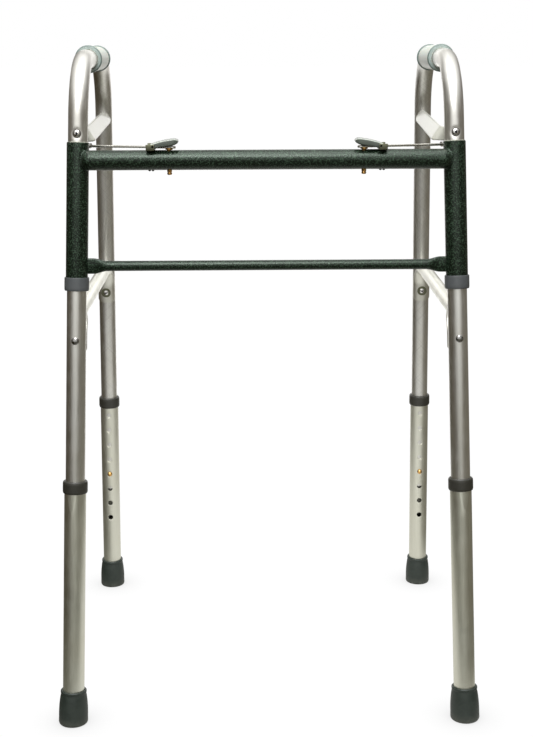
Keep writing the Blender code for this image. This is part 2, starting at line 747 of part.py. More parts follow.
def link_motion(side, limit):
    """Turn and slide of the link over the whole fold, true to the stud at one share of it."""
    plunger, eye, up, _ = link_layout(side)
    moved = folded_eye(side, limit * LINK_TRUE_SHARE)
    open_arm = eye - plunger
    folded_arm = moved - plunger
    turn = open_arm.angle(folded_arm) * (1 if open_arm.cross(folded_arm).dot(up) > 0 else -1)
    stroke = open_arm.length - folded_arm.length
    return turn / LINK_TRUE_SHARE, stroke / LINK_TRUE_SHARE


def build_bracket(label, side, mats):
    """Saddle bracket riveted on the crossbar; its two walls carry the paddle's trunnions."""
    y = crossbar_y()
    low = sided(side, BRACKET_X[0], y + BRACKET_Y[0], CROSSBAR_TOP - 0.0050)
    high = sided(side, BRACKET_X[1], y + BRACKET_Y[1], BRACKET_TOP)
    bracket = add_object("latch_bracket_" + label, box(*ordered(low, high)), mats["bracket"])
    low = sided(side, BRACKET_X[0] - 0.01, y + BRACKET_Y[0] + BRACKET_WALL, BRACKET_FLOOR)
    high = sided(side, BRACKET_X[1] + 0.01, y + BRACKET_Y[1] - BRACKET_WALL, BRACKET_TOP + 0.01)
    boolean(bracket, box(*ordered(low, high)))
    centre = Vector((0, y, CROSSBAR_HEIGHT))
    reach = Vector((0.20, 0, 0))
    boolean(bracket, rod(centre - reach, centre + reach, CROSSBAR_RADIUS + FIT, ROUND))
    pivot_x, pivot_z = PADDLE_PIVOT
    start = sided(side, pivot_x, y - 0.03, pivot_z)
    end = sided(side, pivot_x, y + 0.03, pivot_z)
    boolean(bracket, rod(start, end, 0.0015 + FIT, SMALL_ROUND))
    middle = (BRACKET_X[0] + BRACKET_X[1]) / 2
    top = sided(side, middle, y, BRACKET_FLOOR + 0.001)
    bottom = sided(side, middle, y, CROSSBAR_HEIGHT)
    boolean(bracket, rod(bottom, top, SHANK_RADIUS + FIT, SMALL_ROUND))

    seat = sided(side, middle, y, BRACKET_FLOOR + FIT / 2)
    placement = frame_matrix(seat, Vector((0, 0, 1)))
    depth = BRACKET_FLOOR - CROSSBAR_TOP + 2 * CROSSBAR_RADIUS + FIT
    profile = [(0.0030, 0.0007), (0.0040, 0.0), (SHANK_RADIUS, 0.0), (SHANK_RADIUS, -depth),
               (0.0040, -depth), (0.0038, -depth - 0.0012), (0.0020, -depth - 0.0018)]
    add_object("bracket_rivet_" + label, turned(profile, placement, SMALL_ROUND), mats["dark_steel"])


def sided(side, x, y, z):
    return Vector((side * x, y, z))


def ordered(a, b):
    """The low and high corners of the box that two opposite corners span."""
    low = Vector((min(a.x, b.x), min(a.y, b.y), min(a.z, b.z)))
    high = Vector((max(a.x, b.x), max(a.y, b.y), max(a.z, b.z)))
    return low, high


def paddle_section(distance):
    """Front, back, bottom and top of the paddle at a distance from its pivot."""
    reach = (distance + 0.0030) / (PADDLE_LENGTH + 0.0030)
    nose = math.sqrt(max(1 - max((reach - 0.72) / 0.29, 0) ** 2, 0.0))
    rise = math.sin(PADDLE_SLOPE) * distance
    top = 0.0034 + 1.02 * rise + 0.0009 * math.sin(math.pi * reach) - 0.0030 * (1 - nose)
    bottom = -0.0024 + 0.90 * rise * smooth_step(distance / 0.010) + 0.0026 * (1 - nose)
    half = 0.5 * (0.0272 + 0.0010 * math.sin(math.pi * reach)) * mix(0.55, 1.0, nose)
    return half, bottom, top


def build_paddle(label, side, mats, body):
    """Finger paddle: a tapered shell with side skirts, hinged on two moulded trunnions."""
    y = crossbar_y() + 0.0012
    pivot_x, pivot_z = PADDLE_PIVOT
    rings = []
    for distance in (-0.0030, -0.0015, 0.0060, 0.0140, 0.0210, 0.0255, 0.0288, 0.0308, PADDLE_LENGTH):
        half, bottom, top = paddle_section(distance)
        corner = min(0.0022, (top - bottom) * 0.42)
        ring = []
        for y_sign, z_side, start in ((1, top, 0), (-1, top, 90), (-1, bottom, 180), (1, bottom, 270)):
            for step in range(3):
                angle = math.radians(start + 45 * step)
                z_sign = 1 if z_side == top else -1
                py = y + y_sign * (half - corner) + corner * math.cos(angle)
                pz = pivot_z + z_side - z_sign * corner + corner * math.sin(angle)
                ring.append(sided(side, pivot_x - distance, py, pz))
        rings.append(ring)
    paddle = add_object("paddle_" + label, loft(rings), mats["pale_plastic"], body)
    ceiling = Matrix.Translation(sided(side, pivot_x, 0, pivot_z + 0.0014))
    tilt = Matrix.Rotation(side * math.radians(10.8), 4, "Y")
    channel = box((-0.050, y - 0.0112, -0.030), (0.050, y + 0.0124, 0.0))
    bmesh.ops.transform(channel, matrix=ceiling @ tilt, verts=channel.verts)
    boolean(paddle, channel)
    for start, end in ((-0.0157, -0.0118), (0.0128, 0.0161)):
        outer = sided(side, pivot_x, y + start, pivot_z)
        inner = sided(side, pivot_x, y + end, pivot_z)
        boolean(paddle, rod(outer, inner, 0.0015, SMALL_ROUND), "UNION")


def build_plunger(label, side, mats, body):
    """Brass lock pin through the crossbar, with its collar, thin neck and rounded head."""
    y = crossbar_y()
    seat = sided(side, PLUNGER_X, y, CROSSBAR_TOP)
    placement = frame_matrix(seat, Vector((0, 0, 1)))
    tip = -2 * CROSSBAR_RADIUS - 0.0065
    profile = [(0.0016, tip), (0.0028, tip + 0.0008), (PLUNGER_RADIUS, tip + 0.0020),
               (PLUNGER_RADIUS, 0.0004), (0.0047, 0.0008), (0.0047, 0.0024), (PLUNGER_NECK, 0.0024),
               (PLUNGER_NECK, 0.0088), (PLUNGER_NECK * 0.6, 0.0096)]
    add_object("plunger_" + label, turned(profile, placement, SMALL_ROUND), mats["brass"], body)


def build_plunger_spring(label, side, mats):
    """Compression spring inside the crossbar, under the plunger's collar."""
    y = crossbar_y()
    low = CROSSBAR_HEIGHT - CROSSBAR_RADIUS + CROSSBAR_WALL + 0.0008
    high = CROSSBAR_TOP - 0.0008
    wire = 0.0004
    turns = 4
    per_turn = 7
    count = turns * per_turn
    centre = sided(side, PLUNGER_X, y, 0)
    rings = []
    for i in range(count + 1):
        angle = 2 * math.pi * i / per_turn
        outward = Vector((math.cos(angle), math.sin(angle), 0))
        point = centre + outward * 0.0040
        point.z = mix(low, high, i / count)
        ring = []
        for step in range(4):
            turn = 2 * math.pi * step / 4
            ring.append(point + outward * (wire * math.cos(turn)) + Vector((0, 0, wire * math.sin(turn))))
        rings.append(ring)
    add_object("plunger_spring_" + label, loft(rings), mats["steel"])


def build_link(label, side, mats, guide_body, link_body):
    """Slotted strip that ties the side frame to the plunger, with its guide washer and stud."""
    plunger, eye, up, centre = link_layout(side)
    direction = (plunger - eye).normalized()
    placement = frame_matrix(eye, up, direction)
    length = (plunger - eye).length
    outline = slot_outline(-LINK_HALF_WIDTH, length + LINK_TAIL - LINK_HALF_WIDTH, LINK_HALF_WIDTH)
    half = LINK_THICKNESS / 2
    rings = [[placement @ Vector((x, y, z)) for x, y in outline] for z in (-half, half)]
    strip = add_object("link_" + label, loft(rings), mats["steel"], link_body)
    slot_half = PLUNGER_NECK + 0.0005
    _, stroke = link_motion(side, FOLD_LIMIT["left"])
    slot = slot_outline(length - stroke - 0.0012, length + 0.0008, slot_half)
    boolean(strip, loft([[placement @ Vector((x, y, z)) for x, y in slot] for z in (-0.01, 0.01)]))
    boolean(strip, rod(eye - up * 0.01, eye + up * 0.01, 0.0018 + FIT, SMALL_ROUND))

    front = front_axis(side)
    brace_along = along_at_height(front, UPPER_BRACE_FRONT_Z) - UPPER_BRACE_SECTION[0]
    stud_top = brace_along - (centre - front[0]).length - FIT
    profile = [(0.0024, -half - 0.0012), (0.0034, -half - FIT), (0.0018, -half - FIT), (0.0018, half + FIT),
               (0.0036, half + FIT), (0.0036, stud_top - 0.0004), (0.0030, stud_top)]
    add_object("link_stud_" + label, turned(profile, placement, SMALL_ROUND), mats["steel"], link_body)

    seat = frame_matrix(plunger, up, direction)
    inner = PLUNGER_NECK + 0.0006
    profile = [(inner, half + FIT), (0.0045, half + FIT), (0.0045, half + 0.0011), (inner, half + 0.0011)]
    add_object("link_guide_" + label, turned_ring(profile, seat, SMALL_ROUND), mats["brass"], guide_body)


def slot_outline(low, high, radius):
    """A round-ended outline along local Y; low and high are the centres of the end arcs."""
    points = []
    for centre, start in ((high, 0), (low, 180)):
        for step in range(7):
            angle = math.radians(start + 30 * step)
            points.append((radius * math.cos(angle), centre + radius * math.sin(angle)))
    return points


# ---------------------------------------------------------------- assembly
def make_materials():
    return {
        "green_paint": material("green_hammer_paint", (0.045, 0.075, 0.050), 0.38, 0.3),
        "aluminium": material("satin_aluminium", (0.62, 0.60, 0.55), 0.34, 1.0),
        "champagne": material("champagne_aluminium", (0.66, 0.64, 0.56), 0.42, 1.0),
        "brace_paint": material("cream_brace", (0.70, 0.68, 0.60), 0.42, 0.6),
        "grey_plastic": material("grey_plastic", (0.10, 0.10, 0.10), 0.45, 0.0),
        "pale_plastic": material("pale_plastic", (0.42, 0.44, 0.38), 0.40, 0.0),
        "vinyl": material("grip_vinyl", (0.60, 0.63, 0.56), 0.45, 0.0),
        "rubber": material("tip_rubber", (0.045, 0.055, 0.045), 0.62, 0.0),
        "brass": material("brass", (0.70, 0.42, 0.14), 0.22, 1.0),
        "steel": material("zinc_steel", (0.60, 0.60, 0.60), 0.25, 1.0),
        "dark_steel": material("dark_steel", (0.10, 0.10, 0.10), 0.40, 0.8),
        "bracket": material("bracket_steel", (0.30, 0.29, 0.24), 0.40, 0.7),
    }


def build_front(mats):
    build_crossbar(mats["green_paint"])
    build_lower_bar(mats["green_paint"])
    for label, side in SIDES.items():
        build_sleeve(label, side, mats["green_paint"], mats["grey_plastic"])
        build_bracket(label, side, mats)


def build_latches(mats):
    for label, side in SIDES.items():
        plunger, _, _, _ = link_layout(side)
        pivot_x, pivot_z = PADDLE_PIVOT
        paddle_body = pivot("paddle_hinge_" + label, sided(side, pivot_x, crossbar_y(), pivot_z))
        plunger_body = pivot("plunger_axis_" + label, sided(side, PLUNGER_X, crossbar_y(), CROSSBAR_TOP))
        guide_body = pivot("link_pivot_" + label, plunger)
        link_body = pivot("link_slide_" + label, plunger, guide_body)
        build_paddle(label, side, mats, paddle_body)
        build_plunger(label, side, mats, plunger_body)
        build_plunger_spring(label, side, mats)
        build_link(label, side, mats, guide_body, link_body)


def build_side(label, side, mats):
    axis = front_axis(side)
    body = pivot("fold_axis_" + label, on_upright(axis, side, 0, 0, along_at_height(axis, CROSSBAR_HEIGHT)))
    build_side_tube(label, side, mats["aluminium"], body)
    build_grip(label, side, mats["vinyl"], body)
    build_upper_brace(label, side, mats["brace_paint"], body)
    build_lower_brace(label, side, mats["brace_paint"], body)
    build_side_fasteners(label, side, mats["steel"], body)
    for place, leg_axis, facing in (("front", front_axis(side), 1), ("rear", rear_axis(side), -1)):
        name = place + "_" + label
        leg_body = pivot("leg_slide_" + name, leg_axis[0], body)
        build_leg(name, leg_axis, side, facing, mats, leg_body)
        button_body = pivot("button_slide_" + name, on_upright(leg_axis, side, 0, 0, BUTTON_ALONG), body)
        build_button(name, leg_axis, side, facing, mats, button_body)


def main():
    clear_scene()
    mats = make_materials()
    build_front(mats)
    build_latches(mats)
    for label, side in SIDES.items():
        build_side(label, side, mats)


main()
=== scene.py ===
"""Looks of the folding walking frame: fine meshes, procedural materials, floor, light and camera.

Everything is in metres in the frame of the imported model: the feet stand on z = 0, the crossbar is
at the front (-Y), "left" is -X and "right" is +X. "Along" is a length up an upright from its foot.
"""

from math import ceil, copysign, cos, hypot, pi, radians, sin, sqrt, tan

import bmesh
import bpy
from mathutils import Matrix, Vector, noise


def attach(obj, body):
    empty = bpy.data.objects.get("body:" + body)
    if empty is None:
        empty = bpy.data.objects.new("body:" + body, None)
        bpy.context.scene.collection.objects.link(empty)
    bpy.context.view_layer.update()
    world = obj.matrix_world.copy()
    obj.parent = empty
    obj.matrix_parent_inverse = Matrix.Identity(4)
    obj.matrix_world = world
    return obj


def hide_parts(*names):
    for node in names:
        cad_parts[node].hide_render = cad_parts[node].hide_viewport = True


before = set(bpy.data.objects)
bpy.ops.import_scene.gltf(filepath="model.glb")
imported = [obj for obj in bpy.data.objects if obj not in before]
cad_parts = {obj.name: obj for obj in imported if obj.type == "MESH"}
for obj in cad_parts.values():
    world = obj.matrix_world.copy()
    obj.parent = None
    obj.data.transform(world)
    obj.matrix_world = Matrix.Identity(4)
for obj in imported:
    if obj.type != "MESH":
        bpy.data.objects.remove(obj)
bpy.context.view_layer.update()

# ---- dimensions shared with the CAD
FIT = 0.0003
FOOT_DEPTH = 0.455
FRONT_FOOT_X = 0.2648
REAR_FOOT_X = 0.2592
FRONT_LEAN = (-0.0310, 0.1100)
REAR_LEAN = (-0.0172, -0.0350)
GRIP_HEIGHT = 0.8703
BEND_RADIUS = 0.080
TUBE_RADIUS = 0.0127
TUBE_WALL = 0.0014
DIMPLE_DEPTH = 0.0007
DIMPLE_FLAT = 0.0040
DIMPLE_EDGE = 0.0055
LEG_RADIUS = 0.0143
LEG_BORE = TUBE_RADIUS + FIT
LEG_BOTTOM = 0.0060
LEG_TOP = 0.3280
HOLE_TOP = 0.3035
HOLE_PITCH = 0.0254
HOLE_COUNT = 8
HOLE_RADIUS = 0.0040
BUTTON_RADIUS = HOLE_RADIUS - FIT
BUTTON_ALONG = HOLE_TOP - 4 * HOLE_PITCH
INNER_TUBE_END = BUTTON_ALONG - HOLE_PITCH
LEG_COLLAR = (0.3155, 0.3318)
LEG_COLLAR_RADIUS = 0.0164
TIP_HEIGHT = 0.0450
TIP_BASE_RADIUS = 0.0198
TIP_TOP_RADIUS = 0.0172
SLEEVE = (0.5862, 0.7719)
SLEEVE_COLLAR = (0.5828, 0.6002)
SLEEVE_COLLAR_RADIUS = 0.0160
CROSSBAR_RADIUS = 0.0127
CROSSBAR_HEIGHT = 0.7460
CROSSBAR_FORWARD = 0.0130
CROSSBAR_HALF = 0.2355
CROSSBAR_ROUND = 0.0100
CROSSBAR_TOP = CROSSBAR_HEIGHT + CROSSBAR_RADIUS
COUNTERBORE_RADIUS = 0.0053
WELD_RIPPLE = 0.0021
LOWER_BAR_HEIGHT = 0.6105
LOWER_BAR_RADIUS = 0.0066
LOWER_BAR_END = (0.0102, 0.0024)
GRIP_LENGTH = 0.1340
GRIP_RADIUS = 0.0168
GRIP_FLANGE_RADIUS = 0.0187
GRIP_BACK = 0.0195
UPPER_BRACE_FRONT_Z = 0.7783
UPPER_BRACE_REAR_Z = 0.7838
UPPER_BRACE_HALF_HEIGHT = 0.0103
UPPER_BRACE_TAB = 0.0023
UPPER_BRACE_STRAP = 0.0032
UPPER_BRACE_CORNER = {"left": 0.0125, "right": 0.0198}
UPPER_BRACE_END = (0.0056, -0.0086)
UPPER_BRACE_LEAN = radians(33)
UPPER_BRACE_BACK = 0.0176
UPPER_BRACE_FILLET = 0.0065
UPPER_BRACE_TAPER = 0.036
LOWER_BRACE_Z = 0.5560
LOWER_BRACE_RADIUS = 0.0098
LOWER_BRACE_BEND = 0.0220
LOWER_BRACE_TAB = (0.0150, 0.0022)
LOWER_BRACE_FLAT = 0.024
LOWER_BRACE_CHANGE = 0.042
LOWER_BRACE_FRONT_END = 0.5010
LOWER_BRACE_REAR_END = 0.4930
UPPER_SCREW_ALONG = 0.7832
LOWER_RIVET_ALONG = 0.5183
REAR_BOLT_ALONG = 0.5090
PLUNGER_X = 0.1238
PLUNGER_RADIUS = 0.0031
PLUNGER_NECK = 0.0024
BRACKET_X = (0.1415, 0.1525)
BRACKET_Y = (-0.0145, 0.0174)
BRACKET_WALL = 0.0012
BRACKET_FLOOR = CROSSBAR_TOP + 0.0015
BRACKET_TOP = CROSSBAR_TOP + 0.0076
PADDLE_PIVOT = (0.1440, CROSSBAR_TOP + 0.0050)
PADDLE_HEEL = 0.0030
PADDLE_LENGTH = 0.0318
PADDLE_WIDTH = 0.0272
PADDLE_SLOPE = radians(11.0)
PADDLE_HOLLOW_TILT = radians(10.8)
PADDLE_HOLLOW_TOP = 0.0014
PADDLE_PIN_RADIUS = 0.0015
LINK_Z = CROSSBAR_TOP + 0.0034
LINK_THICKNESS = 0.0014
LINK_HALF_WIDTH = 0.0044
LINK_EYE = (0.0115, 0.0245)
LINK_TAIL = 0.0090
LINK_STROKE = 0.0298
LINK_LIFT = 0.0002
LINK_DROP = 0.0016
SIDES = {"left": -1, "right": 1}
Y_BACK = Vector((0, 1, 0))
Z_UP = Vector((0, 0, 1))


# ---- layout
def upright(side, foot_x, foot_y, lean):
    """Foot point, upward unit direction and side of an upright."""
    return Vector((side * foot_x, foot_y, 0)), Vector((side * lean[0], lean[1], 1.0)).normalized(), side


FRONT = {label: upright(side, FRONT_FOOT_X, -FOOT_DEPTH / 2, FRONT_LEAN) for label, side in SIDES.items()}
REAR = {label: upright(side, REAR_FOOT_X, FOOT_DEPTH / 2, REAR_LEAN) for label, side in SIDES.items()}


def cross_directions(up):
    """Backward and rightward unit vectors square to an upright."""
    back = (Y_BACK - up * up.y).normalized()
    return back, back.cross(up)


def beside(axis, inboard, back, along):
    """A point given by its distances from an upright's axis and along it."""
    foot, up, side = axis
    backward, rightward = cross_directions(up)
    return foot + up * along + backward * back - rightward * (side * inboard)


def at_height(axis, height, inboard=0, back=0):
    return beside(axis, inboard, back, height / axis[1].z)


CROSSBAR_Y = at_height(FRONT["right"], CROSSBAR_HEIGHT).y - CROSSBAR_FORWARD


def smooth_step(value):
    value = min(max(value, 0.0), 1.0)
    return value * value * (3 - 2 * value)


def mix(a, b, t):
    return a + (b - a) * t


def circle(count):
    """Cosine and sine at even steps of a full turn."""
    return [(cos(2 * pi * i / count), sin(2 * pi * i / count)) for i in range(count)]


def quarter(count, first=1):
    """Cosine and sine at even steps of a quarter turn, both ends included if first is 0."""
    return [(cos(radians(90 * i / count)), sin(radians(90 * i / count))) for i in range(first, count + 1)]


# ---- mesh helpers
def frame_matrix(point, direction, reference=Y_BACK):
    """A placement whose local Z is the direction and whose local Y leans to the reference."""
    z_axis = direction.normalized()
    y_axis = (reference - z_axis * reference.dot(z_axis)).normalized()
    matrix = Matrix((y_axis.cross(z_axis), y_axis, z_axis)).transposed().to_4x4()
    matrix.translation = point
    return matrix


def shell(rings, places, closed=False):
    """Quads through closed rings. Each vertex keeps where it would be on the straightened piece."""
    bm = bmesh.new()
    layer = bm.verts.layers.float_vector.new("straight")
    loops = []
    for ring, ring_places in zip(rings, places):
        loops.append([bm.verts.new(point) for point in ring])
        for vertex, place in zip(loops[-1], ring_places):
            vertex[layer] = place
    pairs = list(zip(loops, loops[1:]))
    if closed:
        pairs.append((loops[-1], loops[0]))
    for first, second in pairs:
        for i in range(len(first)):
            j = (i + 1) % len(first)
            bm.faces.new((first[i], first[j], second[j], second[i]))
    if not closed:
        bm.faces.new(loops[0])
        bm.faces.new(loops[-1])
    return bm


def spin(profile, matrix, segments=64, closed=False):
    """A turned piece from a (radius, height) profile about the placement's Z."""
    turn = circle(segments)
    rings = [[Vector((radius * c, radius * s, height)) for c, s in turn] for radius, height in profile]
    return shell([[matrix @ p for p in ring] for ring in rings], rings, closed)


def rounded(profile, radius, steps=4, closed=False):
    """The profile with its corners rounded, as far as its edges allow."""
    points = [Vector(p) for p in profile]
    count = len(points)
    result = []
    for i, corner in enumerate(points):
        if not closed and i in (0, count - 1):
            result.append(tuple(corner))
            continue
        enter = corner - points[i - 1]
        leave = points[(i + 1) % count] - corner
        if enter.length < 1e-7 or leave.length < 1e-7:
            continue
        turn = enter.angle(leave)
        if turn < 0.12:
            result.append(tuple(corner))
            continue
        reach = min(radius * tan(turn / 2), enter.length * 0.48, leave.length * 0.48)
        start = corner - enter.normalized() * reach
        end = corner + leave.normalized() * reach
        for step in range(steps + 1):
            t = step / steps
            result.append(tuple(start * (1 - t) ** 2 + corner * (2 * t * (1 - t)) + end * t ** 2))
    return result


def ring_piece(profile, radius, steps, placement, segments=72):
    """A turned ring from a closed profile with rounded corners."""
    return spin(rounded(profile, radius, steps, True), placement, segments, True)


def filleted_path(points, radius, steps):
    """Points and tangents of a polyline whose corners are arcs."""
    path = [(points[0], (points[1] - points[0]).normalized())]
    for before, corner, after in zip(points, points[1:], points[2:]):
        enter = (corner - before).normalized()
        leave = (after - corner).normalized()
        turn = enter.angle(leave)
        start = corner - enter * (radius * tan(turn / 2))
        inward = (leave - enter * leave.dot(enter)).normalized()
        for i in range(steps + 1):
            angle = turn * i / steps
            offset = enter * (radius * sin(angle)) + inward * (radius * (1 - cos(angle)))
            path.append((start + offset, enter * cos(angle) + inward * sin(angle)))
    path.append((points[-1], (points[-1] - points[-2]).normalized()))
    return path


def divided(path, longest):
    """The path with its long straight runs split."""
    result = [path[0]]
    for (a, _), (b, tangent) in zip(path, path[1:]):
        pieces = max(1, ceil((b - a).length / longest))
        previous = result[-1][1]
        for i in range(1, pieces):
            result.append((a.lerp(b, i / pieces), previous.slerp(tangent, i / pieces)))
        result.append((b, tangent))
    return result


def path_frames(path, normal):
    """Point, tangent, lateral, normal and travelled length at each path point, without twist."""
    frames = []
    before, previous = path[0]
    travelled = 0.0
    normal = (normal - previous * normal.dot(previous)).normalized()
    for point, tangent in path:
        normal = previous.rotation_difference(tangent) @ normal
        normal = (normal - tangent * normal.dot(tangent)).normalized()
        travelled += (point - before).length
        frames.append((point, tangent, normal.cross(tangent), normal, travelled))
        previous, before = tangent, point
    return frames


def swept(frames, section):
    """A solid along frames. section(travelled) gives (across, upward) points."""
    rings = []
    places = []
    for point, _, lateral, normal, travelled in frames:
        outline = section(travelled)
        rings.append([point + lateral * x + normal * y for x, y in outline])
        places.append([Vector((x, y, travelled)) for x, y in outline])
    return shell(rings, places)


def rounded_outline(half_x, half_y, corner, steps=6):
    """A rounded-rectangle outline."""
    points = []
    for x_sign, y_sign, start in ((1, 1, 0), (-1, 1, 90), (-1, -1, 180), (1, -1, 270)):
        for step in range(steps + 1):
            angle = radians(start + 90 * step / steps)
            points.append((x_sign * (half_x - corner) + corner * cos(angle),
                           y_sign * (half_y - corner) + corner * sin(angle)))
    return points


def box(low, high):
    low, high = Vector(low), Vector(high)
    bm = bmesh.new()
    bm.verts.layers.float_vector.new("straight")
    bmesh.ops.create_cube(bm, size=1.0)
    bmesh.ops.transform(bm, matrix=Matrix.Diagonal(high - low).to_4x4(), verts=bm.verts)
    bmesh.ops.translate(bm, vec=(high + low) / 2, verts=bm.verts)
    return bm


def rod(start, end, radius, segments=32):
    direction = end - start
    reference = Y_BACK if abs(direction.normalized().y) < 0.8 else Z_UP
    placement = frame_matrix(start, direction, reference)
    return spin([(radius, 0.0), (radius, direction.length)], placement, segments)


def to_object(name, bm):
    bmesh.ops.recalc_face_normals(bm, faces=bm.faces)
    mesh = bpy.data.meshes.new(name)
    bm.to_mesh(mesh)
    bm.free()
    obj = bpy.data.objects.new(name, mesh)
    bpy.context.scene.collection.objects.link(obj)
    return obj


def settle(obj):
    """Replaces the object's mesh with the result of its modifiers."""
    bpy.context.view_layer.update()
    evaluated = obj.evaluated_get(bpy.context.evaluated_depsgraph_get())
    mesh = bpy.data.meshes.new_from_object(evaluated)
    obj.modifiers.clear()
    obj.data = mesh


def cut(obj, bodies, operation="DIFFERENCE"):
    tools = [to_object(obj.name + "_tool", bm) for bm in bodies]
    for tool in tools:
        modifier = obj.modifiers.new("cut", "BOOLEAN")
        modifier.solver = "EXACT"
        modifier.operation = operation
        modifier.object = tool
    settle(obj)
    for tool in tools:
        bpy.data.objects.remove(tool)


def soften(obj, width, segments=3, angle=35.0):
    """Rounds the sharp edges by a small bevel."""
    modifier = obj.modifiers.new("edges", "BEVEL")
    modifier.width = width
    modifier.segments = segments
    modifier.limit_method = "ANGLE"
    modifier.angle_limit = radians(angle)
    modifier.use_clamp_overlap = True
    settle(obj)


def place(obj, materials, body, nodes=(), slot=None, sharp=38.0):
    """Shades the piece, gives it its materials and its body, and lets it stand for CAD nodes."""
    if not isinstance(materials, list):
        materials = [materials]
    indices = [min(polygon.material_index, len(materials) - 1) for polygon in obj.data.polygons]
    obj.data.materials.clear()
    for item in materials:
        obj.data.materials.append(item)
    obj.data.polygons.foreach_set("material_index", indices)
    obj.data.shade_smooth()
    obj.data.set_sharp_from_angle(angle=radians(sharp))
    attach(obj, body)
    if nodes:
        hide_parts(*nodes)


def build(name, bm, *details):
    place(to_object(name, bm), *details)


# ---- material helpers
class Graph:
    """Short calls for building the nodes of a material or a world."""

    def __init__(self, owner):
        owner.use_nodes = True
        self.owner = owner
        self.tree = owner.node_tree

    def node(self, kind, inputs=None, **properties):
        made = self.tree.nodes.new("ShaderNode" + kind)
        for key, value in properties.items():
            setattr(made, key, value)
        for key, value in (inputs or {}).items():
            self.feed(made.inputs[key], value)
        return made

    def feed(self, socket, value):
        if isinstance(value, bpy.types.NodeSocket):
            self.tree.links.new(value, socket)
        else:
            socket.default_value = value

    def shade(self, **values):
        """Feeds the surface shader and returns the finished material."""
        shader = self.tree.nodes["Principled BSDF"]
        for key, value in values.items():
            self.feed(shader.inputs[key.replace("_", " ")], value)
        return self.owner

    def place(self):
        return self.node("TexCoord").outputs["Object"]

    def part(self, vector, name):
        return self.node("SeparateXYZ", {0: vector}).outputs[name]

    def vector(self, operation, a, b):
        return self.node("VectorMath", {0: a, "Scale" if operation == "SCALE" else 1: b}, operation=operation)

    def along(self, direction, squeeze):
        """Object coordinates squeezed along a tube's own direction, for drawn streaks."""
        place = self.place()
        reach = self.vector("DOT_PRODUCT", place, direction).outputs["Value"]
        step = self.vector("SCALE", direction, self.times(reach, 1.0 - squeeze)).outputs[0]
        return self.vector("SUBTRACT", place, step).outputs[0]

    def straight(self, squeeze, twist=0.0):
        """The straightened piece's coordinates, twisted by radians per metre and squeezed along it."""
        stored = self.node("Attribute", attribute_name="straight").outputs["Vector"]
        if twist:
            angle = self.times(self.part(stored, "Z"), twist)
            stored = self.node("VectorRotate", {"Vector": stored, "Angle": angle},
                               rotation_type="Z_AXIS").outputs[0]
        return self.node("Mapping", {"Vector": stored, "Scale": (1, 1, squeeze)}).outputs[0]

    def noise(self, vector, scale, detail=2.0, roughness=0.5, distortion=0.0):
        return self.node("TexNoise", {"Vector": vector, "Scale": scale, "Detail": detail,
                                      "Roughness": roughness, "Distortion": distortion}).outputs["Fac"]

    def ramp(self, factor, *stops):
        """A colour ramp; stops are (position, colour)."""
        made = self.node("ValToRGB", {"Fac": factor})
        elements = made.color_ramp.elements
        while len(elements) < len(stops):
            elements.new(0.5)
        for element, (position, colour) in zip(elements, stops):
            element.position = position
            element.color = (*colour, 1.0)
        return made.outputs["Color"]

    def range(self, value, low, high, from_low=0.0, from_high=1.0):
        return self.node("MapRange", {"Value": value, "From Min": from_low, "From Max": from_high,
                                      "To Min": low, "To Max": high}).outputs[0]

    def fade(self, value, start, end):
        """A soft step from 0 at the start to 1 at the end."""
        return self.node("MapRange", {"Value": value, "From Min": start, "From Max": end},
                         interpolation_type="SMOOTHSTEP").outputs[0]

    def math(self, operation, a, b):
        return self.node("Math", {0: a, 1: b}, operation=operation).outputs[0]

    def times(self, a, b):
        return self.math("MULTIPLY", a, b)

    def sum(self, *parts):
        """The sum of (value, weight) pairs and plain values."""
        total = None
        for part in parts:
            value = self.times(*part) if isinstance(part, tuple) else part
            total = value if total is None else self.math("ADD", total, value)
        return total

    def blend(self, factor, a, b):
        made = self.node("Mix", data_type="RGBA")
        for index, value in ((0, factor), (6, a), (7, b)):
            self.feed(made.inputs[index], (*value, 1.0) if isinstance(value, tuple) else value)
        return made.outputs[2]

    def bump(self, height, strength, distance, normal=None):
        made = self.node("Bump", {"Height": height, "Strength": strength, "Distance": distance})
        if normal is not None:
            self.feed(made.inputs["Normal"], normal)
        return made.outputs["Normal"]


def new_material(name):
    return Graph(bpy.data.materials.new(name))


def scaled(colour, factor):
    return tuple(min(c * factor, 1.0) for c in colour)


def spread(colour, amount):
    """A darker and a lighter shade of a colour."""
    return scaled(colour, 1.0 - amount), scaled(colour, 1.0 + amount)


